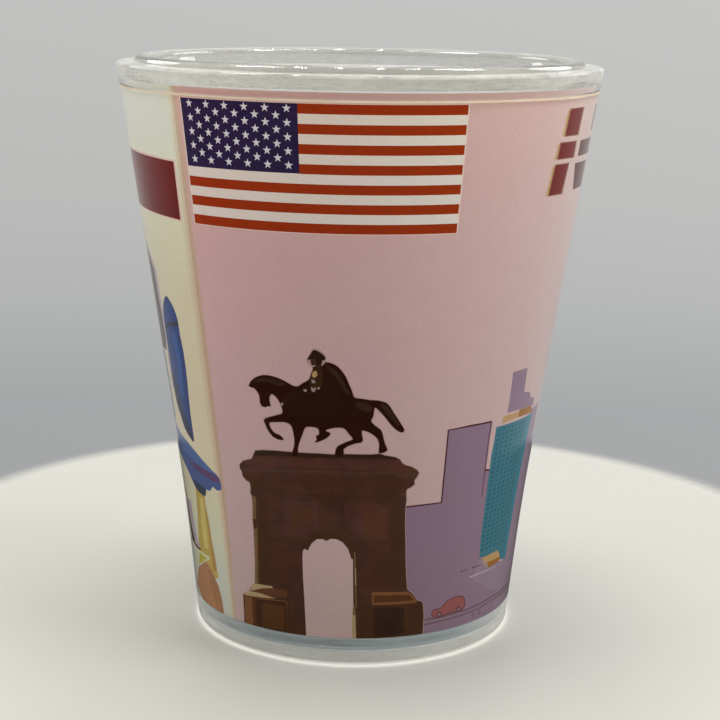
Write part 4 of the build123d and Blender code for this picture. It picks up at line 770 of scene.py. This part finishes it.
# ---------------------------------------------------------------- materials
def new_material(name):
    mat = bpy.data.materials.new(name)
    mat.use_nodes = True
    nt = mat.node_tree
    nt.nodes.clear()
    out = nt.nodes.new("ShaderNodeOutputMaterial")
    return mat, nt, out


def node(nt, kind, **values):
    n = nt.nodes.new(kind)
    for key, v in values.items():
        if key in n.inputs:
            n.inputs[key].default_value = v
        else:
            setattr(n, key, v)
    return n


def noise(nt, coords, scale, detail=2.0, rough=0.5):
    n = node(nt, "ShaderNodeTexNoise", Scale=scale, Detail=detail, Roughness=rough)
    nt.links.new(coords, n.inputs["Vector"])
    return n.outputs["Fac"]


def ramp(nt, fac, lo, hi, a, b):
    n = node(nt, "ShaderNodeMapRange")
    n.inputs["From Min"].default_value, n.inputs["From Max"].default_value = lo, hi
    n.inputs["To Min"].default_value, n.inputs["To Max"].default_value = a, b
    nt.links.new(fac, n.inputs["Value"])
    return n.outputs["Result"]


def math_node(nt, op, a, b=None):
    n = node(nt, "ShaderNodeMath", operation=op)
    for i, v in enumerate((a, b)):
        if v is None:
            continue
        if isinstance(v, (int, float)):
            n.inputs[i].default_value = v
        else:
            nt.links.new(v, n.inputs[i])
    return n.outputs[0]


def ahead(nt, direction, flip=1.0):
    """how far a direction points the way the camera looks, -1 to 1"""
    turn = node(nt, "ShaderNodeVectorTransform", vector_type="VECTOR", convert_from="WORLD", convert_to="CAMERA")
    nt.links.new(direction, turn.inputs[0])
    unit = node(nt, "ShaderNodeVectorMath", operation="NORMALIZE")
    nt.links.new(turn.outputs[0], unit.inputs[0])
    axes = node(nt, "ShaderNodeSeparateXYZ")
    nt.links.new(unit.outputs[0], axes.inputs[0])
    return math_node(nt, "MULTIPLY", axes.outputs["Z"], flip)


def ink_material():
    """offset print on coated white stock: flat inks, faint grain and mottle"""
    mat, nt, out = new_material("printed_stock")
    geo = node(nt, "ShaderNodeTexCoord").outputs["Object"]
    a = node(nt, "ShaderNodeAttribute", attribute_name="ink_a")
    b = node(nt, "ShaderNodeAttribute", attribute_name="ink_b")
    blot = ramp(nt, noise(nt, geo, 520.0, 3.0, 0.6), 0.38, 0.66, 0.0, 1.0)
    share = math_node(nt, "MULTIPLY", blot, b.outputs["Alpha"])
    mix = node(nt, "ShaderNodeMix", data_type="RGBA")
    nt.links.new(share, mix.inputs["Factor"])
    nt.links.new(a.outputs["Color"], mix.inputs[6])
    nt.links.new(b.outputs["Color"], mix.inputs[7])
    grain = ramp(nt, noise(nt, geo, 2600.0, 2.0, 0.7), 0.3, 0.7, 0.972, 1.028)
    hsv = node(nt, "ShaderNodeHueSaturation")
    nt.links.new(grain, hsv.inputs["Value"])
    nt.links.new(mix.outputs[2], hsv.inputs["Color"])
    p = node(nt, "ShaderNodeBsdfPrincipled")
    p.inputs["IOR"].default_value = 1.45
    p.inputs["Specular IOR Level"].default_value = 0.1
    nt.links.new(hsv.outputs[0], p.inputs["Base Color"])
    nt.links.new(ramp(nt, noise(nt, geo, 900.0, 2.0), 0.3, 0.7, 0.42, 0.56), p.inputs["Roughness"])
    nt.links.new(p.outputs[0], out.inputs["Surface"])
    return mat


def paper_material():
    mat, nt, out = new_material("plain_stock")
    geo = node(nt, "ShaderNodeTexCoord").outputs["Object"]
    fibre = ramp(nt, noise(nt, geo, 900.0, 5.0, 0.7), 0.3, 0.7, 0.0, 1.0)
    mix = node(nt, "ShaderNodeMix", data_type="RGBA")
    nt.links.new(fibre, mix.inputs["Factor"])
    mix.inputs[6].default_value = tuple(linear((226, 222, 213))) + (1,)
    mix.inputs[7].default_value = tuple(linear((236, 233, 226))) + (1,)
    p = node(nt, "ShaderNodeBsdfPrincipled", Roughness=0.6)
    nt.links.new(mix.outputs[2], p.inputs["Base Color"])
    nt.links.new(ramp(nt, fibre, 0.0, 1.0, 0.52, 0.68), p.inputs["Roughness"])
    nt.links.new(p.outputs[0], out.inputs["Surface"])
    return mat


def clear_material(name, tint, rough, painted_bands=None, reach=0.0, base=0.0, tall=4.0, streak=1.0, uneven=0.1, glow=0.0, turned=(0.55, 0.92),
                   painted_glow=None):
    """clear moulded polystyrene: slight uneven polish, hair scuffs; light for
    what stands behind it passes straight through"""
    mat, nt, out = new_material(name)
    geo = node(nt, "ShaderNodeTexCoord").outputs["Object"]
    polish = ramp(nt, noise(nt, geo, 160.0, 4.0, 0.6), 0.35, 0.7, rough * 0.5, rough * 1.6)
    veil = node(nt, "ShaderNodeMix", data_type="RGBA")
    nt.links.new(ramp(nt, noise(nt, geo, 90.0, 2.0), 0.3, 0.7, 0.0, 1.0), veil.inputs["Factor"])
    veil.inputs[6].default_value = tuple(tint) + (1,)
    veil.inputs[7].default_value = tuple(min(1.0, c * 1.006) for c in tint) + (1,)
    p = node(nt, "ShaderNodeBsdfPrincipled", IOR=1.58)
    p.inputs["Transmission Weight"].default_value = 1.0
    nt.links.new(veil.outputs[2], p.inputs["Base Color"])
    nt.links.new(polish, p.inputs["Roughness"])
    swell = node(nt, "ShaderNodeBump", Strength=BUMP, Distance=0.0002)
    nt.links.new(noise(nt, geo, 55.0, 2.0), swell.inputs["Height"])
    nt.links.new(swell.outputs[0], p.inputs["Normal"])
    through = node(nt, "ShaderNodeBsdfTransparent")
    through.inputs[0].default_value = (0.965, 0.968, 0.962, 1)
    path = node(nt, "ShaderNodeLightPath")
    share = math_node(nt, "MAXIMUM", path.outputs["Is Shadow Ray"], path.outputs["Is Diffuse Ray"])
    mix = node(nt, "ShaderNodeMixShader")
    nt.links.new(share, mix.inputs[0])
    nt.links.new(p.outputs[0], mix.inputs[1])
    nt.links.new(through.outputs[0], mix.inputs[2])
    if painted_bands is None:
        nt.links.new(mix.outputs[0], out.inputs["Surface"])
        return mat
    # painted light and shade: the thick ends get a matte colour by height, painted highlights and painted shade
    # standing in for the light caught in the thick plastic
    parts = node(nt, "ShaderNodeSeparateXYZ")
    nt.links.new(geo, parts.inputs[0])
    height = ramp(nt, parts.outputs["Z"], base * M, (base + tall) * M, 0.0, 1.0)
    tone = node(nt, "ShaderNodeValToRGB")
    dens = node(nt, "ShaderNodeValToRGB")
    nt.links.new(height, tone.inputs[0])
    nt.links.new(height, dens.inputs[0])
    for cr, stops in ((tone.color_ramp, [(z, tuple(linear(c))) for z, c, _ in painted_bands]),
                      (dens.color_ramp, [(z, (d, d, d)) for z, _, d in painted_bands])):
        while len(cr.elements) < len(stops):
            cr.elements.new(0.5)
        for e, (z, c) in zip(cr.elements, stops):
            e.position = (z - base) / tall
            e.color = tuple(c) + (1,)
    flat = node(nt, "ShaderNodeVectorMath", operation="MULTIPLY")
    flat.inputs[1].default_value = (1, 1, 0)
    nt.links.new(geo, flat.inputs[0])
    away = node(nt, "ShaderNodeVectorMath", operation="LENGTH")
    nt.links.new(flat.outputs[0], away.inputs[0])
    outer = ramp(nt, away.outputs["Value"], (reach - 0.3) * M, reach * M, 0.0, 1.0)
    painted_share = math_node(nt, "MULTIPLY", outer, dens.outputs[0])
    drawn = node(nt, "ShaderNodeVectorMath", operation="MULTIPLY")
    drawn.inputs[1].default_value = (1, 1, streak)
    nt.links.new(geo, drawn.inputs[0])
    uneven_paint = ramp(nt, noise(nt, drawn.outputs[0], 150.0, 4.0, 0.65), 0.36, 0.66, 1.0 - uneven, 1.0 + uneven)
    painted_share = math_node(nt, "MULTIPLY", painted_share, uneven_paint)
    painted_share = math_node(nt, "MINIMUM", painted_share, 1.0)
    # painted highlight: turned edge-on, the painted matte is whitened
    edge = node(nt, "ShaderNodeLayerWeight", Blend=0.5)
    pale = node(nt, "ShaderNodeMix", data_type="RGBA")
    nt.links.new(ramp(nt, edge.outputs["Facing"], turned[0], turned[1], 0.0, glow), pale.inputs["Factor"])
    nt.links.new(tone.outputs[0], pale.inputs[6])
    pale.inputs[7].default_value = (1.0, 1.0, 0.97, 1)
    painted_matte = node(nt, "ShaderNodeBsdfDiffuse")
    nt.links.new(pale.outputs[2], painted_matte.inputs[0])
    final = node(nt, "ShaderNodeMixShader")
    nt.links.new(painted_share, final.inputs[0])
    nt.links.new(mix.outputs[0], final.inputs[1])
    nt.links.new(painted_matte.outputs[0], final.inputs[2])
    if painted_glow is None:
        nt.links.new(final.outputs[0], out.inputs["Surface"])
        return mat
    # painted glow: the lowest edge, resting on the bright table, gets an emission standing in for the table's light it
    # catches
    shine = node(nt, "ShaderNodeEmission", Strength=1.0)
    shine.inputs["Color"].default_value = painted_glow[2]
    low = math_node(nt, "MULTIPLY", outer, ramp(nt, parts.outputs["Z"], painted_glow[0] * M, painted_glow[1] * M, 0.9, 0.0))
    bright = node(nt, "ShaderNodeMixShader")
    nt.links.new(low, bright.inputs[0])
    nt.links.new(final.outputs[0], bright.inputs[1])
    nt.links.new(shine.outputs[0], bright.inputs[2])
    nt.links.new(bright.outputs[0], out.inputs["Surface"])
    return mat


def weld_material():
    """melted bead of the welded joint, coloured whiter than the walls beside it: a painted highlight for the bright
    line the joint catches
    """
    mat, nt, out = new_material("weld_bead")
    geo = node(nt, "ShaderNodeTexCoord").outputs["Object"]
    white = node(nt, "ShaderNodeBsdfDiffuse")
    white.inputs[0].default_value = tuple(linear(WELD[0])) + (1,)
    clear = node(nt, "ShaderNodeBsdfTransparent")
    clear.inputs[0].default_value = tuple(linear(WELD[1])) + (1,)
    both = node(nt, "ShaderNodeMixShader")
    nt.links.new(ramp(nt, noise(nt, geo, 240.0, 3.0), 0.3, 0.7, WELD[2] - 0.12, WELD[2] + 0.12), both.inputs[0])
    nt.links.new(clear.outputs[0], both.inputs[1])
    nt.links.new(white.outputs[0], both.inputs[2])
    nt.links.new(both.outputs[0], out.inputs["Surface"])
    return mat


ink_mat, paper_mat = ink_material(), paper_material()
shell.data.materials.append(clear_material("clear_shell_plastic", (0.985, 0.99, 0.984), 0.012, FOOT, 16.0, 0.0, 4.0, 3.0, 0.12, 0.9, (0.35, 0.80), FOOT_PAINTED_GLOW))
cup.data.materials.append(clear_material("clear_cup_plastic", (0.985, 0.988, 0.984), 0.012, RIM, 21.75, 56.5, 4.0, 5.0, 0.45, 0.5))
for ob in sheets:
    ob.data.materials.append(ink_mat)
lap.data.materials.append(paper_mat)
weld.data.materials.append(weld_material())

# ----------------------------------------------------------- riding, finish
for ob in [shell, cup, lap, weld] + sheets:
    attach(ob, "root")
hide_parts("outer_shell")
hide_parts("inner_cup")
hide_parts("printed_insert")


# -------------------------------------------------------------------- stage
def stand():
    """pale table top under the glass, with painted light round the foot and painted dark reflections: round far side,
    straight sides and front, soft at its far edge"""
    r, cy, front, depth = 59.4, 18.1, -44.0, 6.0
    rim = [(r * math.cos(t), r * math.sin(t)) for t in np.linspace(0, math.pi, 129)]
    rim += [(-r, front - cy), (r, front - cy)]
    n = len(rim)
    verts = [(x * M, y * M, -0.02 * M) for x, y in rim] + [(x * M, y * M, -depth * M) for x, y in rim]
    faces = [tuple(range(n)), tuple(range(2 * n - 1, n - 1, -1))]
    faces += [(k, k + n, (k + 1) % n + n, (k + 1) % n) for k in range(n)]
    mesh = bpy.data.meshes.new("table_top")
    mesh.from_pydata(verts, [], faces)
    ob = link(mesh, "table_top")
    ob.location = (0.8 * M, cy * M, 0)
    mat, nt, out = new_material("pale_table")
    geo = node(nt, "ShaderNodeTexCoord").outputs["Object"]
    mix = node(nt, "ShaderNodeMix", data_type="RGBA")
    nt.links.new(ramp(nt, noise(nt, geo, 18.0, 3.0), 0.3, 0.7, 0.0, 1.0), mix.inputs["Factor"])
    mix.inputs[6].default_value = TABLE_A
    mix.inputs[7].default_value = TABLE_B
    p = node(nt, "ShaderNodeBsdfPrincipled", Roughness=0.45)
    p.inputs["Specular IOR Level"].default_value = 0.3
    nt.links.new(mix.outputs[2], p.inputs["Base Color"])
    # painted light: emission on the table, a ring round the foot and a faint patch in front of the glass, stands in for
    # the light the foot ring throws on the table
    flat = node(nt, "ShaderNodeVectorMath", operation="MULTIPLY")
    flat.inputs[1].default_value = (1, 1, 0)
    nt.links.new(node(nt, "ShaderNodeNewGeometry").outputs["Position"], flat.inputs[0])
    away = node(nt, "ShaderNodeVectorMath", operation="LENGTH")
    nt.links.new(flat.outputs[0], away.inputs[0])
    halo = node(nt, "ShaderNodeValToRGB")
    nt.links.new(ramp(nt, away.outputs["Value"], 15.0 * M, 20.0 * M, 0.0, 1.0), halo.inputs[0])
    els = halo.color_ramp.elements
    while len(els) < len(TABLE_PAINTED_GLOW):
        els.new(0.5)
    for e, (pos, v) in zip(els, TABLE_PAINTED_GLOW):
        e.position = (pos - 15.0) / 5.0
        e.color = (v, v, v * 0.97, 1)
    front_distance = node(nt, "ShaderNodeVectorMath", operation="DISTANCE")
    front_distance.inputs[1].default_value = (0.0, -30.0 * M, 0.0)
    nt.links.new(flat.outputs[0], front_distance.inputs[0])
    painted_front_patch = ramp(nt, front_distance.outputs["Value"], 6.0 * M, 26.0 * M, TABLE_PAINTED_PATCH, 0.0)
    lit = node(nt, "ShaderNodeMix", data_type="RGBA", blend_type="ADD")
    lit.inputs["Factor"].default_value = 1.0
    nt.links.new(halo.outputs[0], lit.inputs[6])
    nt.links.new(painted_front_patch, lit.inputs[7])
    nt.links.new(lit.outputs[2], p.inputs["Emission Color"])
    p.inputs["Emission Strength"].default_value = 1.0
    behind = node(nt, "ShaderNodeVectorMath", operation="MAXIMUM")
    behind.inputs[1].default_value = (-1.0, 0.0, -1.0)
    nt.links.new(geo, behind.inputs[0])
    far = node(nt, "ShaderNodeVectorMath", operation="LENGTH")
    nt.links.new(behind.outputs[0], far.inputs[0])
    fade = node(nt, "ShaderNodeMapRange", interpolation_type="SMOOTHSTEP")
    fade.inputs["From Min"].default_value, fade.inputs["From Max"].default_value = 54.9 * M, 59.3 * M
    nt.links.new(far.outputs["Value"], fade.inputs["Value"])
    gone = node(nt, "ShaderNodeBsdfTransparent")
    matt = node(nt, "ShaderNodeBsdfDiffuse")
    matt.inputs[0].default_value = TABLE_BOUNCE
    bounce = node(nt, "ShaderNodeMixShader")
    nt.links.new(node(nt, "ShaderNodeLightPath").outputs["Is Diffuse Ray"], bounce.inputs[0])
    nt.links.new(p.outputs[0], bounce.inputs[1])
    nt.links.new(matt.outputs[0], bounce.inputs[2])
    # painted dark reflection: rays coming back towards the viewer's side, as from the glass, find the table dark grey
    painted_dark_reflection = node(nt, "ShaderNodeBsdfDiffuse")
    painted_dark_reflection.inputs[0].default_value = (0.07, 0.07, 0.07, 1)
    seen = ramp(nt, ahead(nt, node(nt, "ShaderNodeNewGeometry").outputs["Incoming"], -1.0), 0.20, 0.80, 1.0, 0.0)
    way = node(nt, "ShaderNodeLightPath")
    seen = math_node(nt, "MAXIMUM", seen, math_node(nt, "MULTIPLY", way.outputs["Is Glossy Ray"],
                                                    math_node(nt, "SUBTRACT", 1.0, way.outputs["Is Transmission Ray"])))
    seen = math_node(nt, "MULTIPLY", seen, math_node(nt, "SUBTRACT", 1.0, node(nt, "ShaderNodeLightPath").outputs["Is Diffuse Ray"]))
    mirror = node(nt, "ShaderNodeMixShader")
    nt.links.new(seen, mirror.inputs[0])
    nt.links.new(bounce.outputs[0], mirror.inputs[1])
    nt.links.new(painted_dark_reflection.outputs[0], mirror.inputs[2])
    both = node(nt, "ShaderNodeMixShader")
    nt.links.new(fade.outputs["Result"], both.inputs[0])
    nt.links.new(mirror.outputs[0], both.inputs[1])
    nt.links.new(gone.outputs[0], both.inputs[2])
    nt.links.new(both.outputs[0], out.inputs["Surface"])
    ob.data.materials.append(mat)
    return ob


stand()

world = bpy.data.worlds.new("studio")
bpy.context.scene.world = world
world.use_nodes = True
nt = world.node_tree
nt.nodes.clear()
sky_dir = node(nt, "ShaderNodeTexCoord").outputs["Generated"]
part = node(nt, "ShaderNodeSeparateXYZ")
nt.links.new(sky_dir, part.inputs[0])
wall = node(nt, "ShaderNodeValToRGB")
nt.links.new(ramp(nt, part.outputs["Z"], WALL_LO, WALL_HI, 0.0, 1.0), wall.inputs[0])
els = wall.color_ramp.elements
while len(els) < len(WALL_RAMP):
    els.new(0.5)
for e, (pos, col) in zip(els, WALL_RAMP):
    e.position = pos
    e.color = tuple(linear(col)) + (1,)
lean = ramp(nt, part.outputs["X"], -0.25, 0.25, 0.965, 1.03)
scaled = node(nt, "ShaderNodeVectorMath", operation="SCALE")
nt.links.new(wall.outputs[0], scaled.inputs[0])
nt.links.new(lean, scaled.inputs["Scale"])
path = node(nt, "ShaderNodeLightPath")
# mirrored or bent by the clear plastic: the low near side of the room is dark
# (the viewer stands there), the ceiling is the bright part
near = ramp(nt, ahead(nt, sky_dir), -0.05, 0.45, NEAR, 1.0)
near = math_node(nt, "MAXIMUM", near, ramp(nt, part.outputs["Z"], -0.05, 0.20, 0.0, 1.0))
bounced = math_node(nt, "MULTIPLY", path.outputs["Is Glossy Ray"],
                    math_node(nt, "SUBTRACT", 1.0, path.outputs["Is Transmission Ray"]))
bounced = math_node(nt, "MULTIPLY", bounced, ramp(nt, ahead(nt, sky_dir), 0.35, 0.85, 1.0, 0.0))
near = math_node(nt, "MULTIPLY", near, ramp(nt, bounced, 0.0, 1.0, 1.0, MIRROR))
near = math_node(nt, "ADD", near, ramp(nt, part.outputs["Z"], 0.10, 0.75, 0.0, CEILING))
mirrored = math_node(nt, "MAXIMUM", path.outputs["Is Glossy Ray"], path.outputs["Is Transmission Ray"])
dim = node(nt, "ShaderNodeMix", data_type="FLOAT")
nt.links.new(mirrored, dim.inputs[0])
dim.inputs[2].default_value = 1.0
nt.links.new(near, dim.inputs[3])
back = node(nt, "ShaderNodeBackground")
nt.links.new(scaled.outputs[0], back.inputs[0])
nt.links.new(dim.outputs[0], back.inputs[1])
# what lights the glass: the room above and the room below
level = ramp(nt, part.outputs["Z"], -0.25, 0.25, 0.0, 1.0)
tone = node(nt, "ShaderNodeMix", data_type="RGBA")
nt.links.new(level, tone.inputs["Factor"])
tone.inputs[6].default_value = ROOM_DOWN
tone.inputs[7].default_value = ROOM_UP
soft = node(nt, "ShaderNodeBackground", Strength=1.0)
nt.links.new(tone.outputs[2], soft.inputs[0])
see = node(nt, "ShaderNodeMixShader")
plain = math_node(nt, "MAXIMUM", path.outputs["Is Camera Ray"],
                  math_node(nt, "MAXIMUM", path.outputs["Is Transmission Ray"], path.outputs["Is Glossy Ray"]))
nt.links.new(plain, see.inputs[0])
nt.links.new(soft.outputs[0], see.inputs[1])
nt.links.new(back.outputs[0], see.inputs[2])
wout = node(nt, "ShaderNodeOutputWorld")
nt.links.new(see.outputs[0], wout.inputs[0])


def lamp(name, at, aim, size, power, colour=(1, 1, 1), size_y=None, spread=None):
    data = bpy.data.lights.new(name, "AREA")
    data.shape = "RECTANGLE" if size_y else "DISK"
    data.size = size
    if size_y:
        data.size_y = size_y
    data.energy = power
    data.color = colour
    if spread:
        data.spread = spread
    ob = bpy.data.objects.new(name, data)
    bpy.context.scene.collection.objects.link(ob)
    ob.location = at
    ob.rotation_euler = (Vector(aim) - Vector(at)).to_track_quat("-Z", "Y").to_euler()
    if size_y:               # long side runs front to back
        back = (Vector(at) - Vector(aim)).normalized()
        side = Vector((0, 1, 0)).cross(back).normalized()
        ob.rotation_euler = Matrix((side, back.cross(side), back)).transposed().to_euler()
    return ob


for args in LAMPS:
    ob = lamp(*args)
    ob.visible_glossy = ob.visible_transmission = False
for k, (turn, wide, power) in enumerate(GLINTS):     # ceiling lights, seen only as glints
    x = 0.976 * turn
    at = Vector((x, GLINT_Y, math.sqrt(1 - x * x - GLINT_Y * GLINT_Y))) * 0.6
    glint = lamp("glint_%d" % (k + 1), at, (0, 0, 0.06), wide, power * wide / 0.018, size_y=0.16)
    glint.visible_diffuse = glint.visible_transmission = glint.visible_camera = False
for args in WINDOWS:         # tall windows to either side, seen only as glints
    pane = lamp(*args)
    pane.visible_diffuse = pane.visible_transmission = pane.visible_camera = False

# ------------------------------------------------------------------- camera
cam_data = bpy.data.cameras.new("view")
cam_data.sensor_width = 36.0
cam_data.lens = 1721.2111 / 720 * 36.0
cam_data.clip_start, cam_data.clip_end = 0.01, 20.0
cam = bpy.data.objects.new("view", cam_data)
bpy.context.scene.collection.objects.link(cam)
PITCH, ROLL, YAW = 0.2168, 0.0152, 0.0025
cam.matrix_world = (Matrix.Translation((0, -179.9492 * M, 67.5697 * M))
                    @ Matrix.Rotation(-YAW, 4, "Z")
                    @ Matrix.Rotation(math.pi / 2 - PITCH, 4, "X")
                    @ Matrix.Rotation(ROLL, 4, "Z"))
bpy.context.scene.camera = cam
bpy.context.scene.view_settings.view_transform = "Standard"
bpy.context.scene.cycles.max_bounces = 20
bpy.context.scene.cycles.transmission_bounces = 20

bpy.context.view_layer.update()
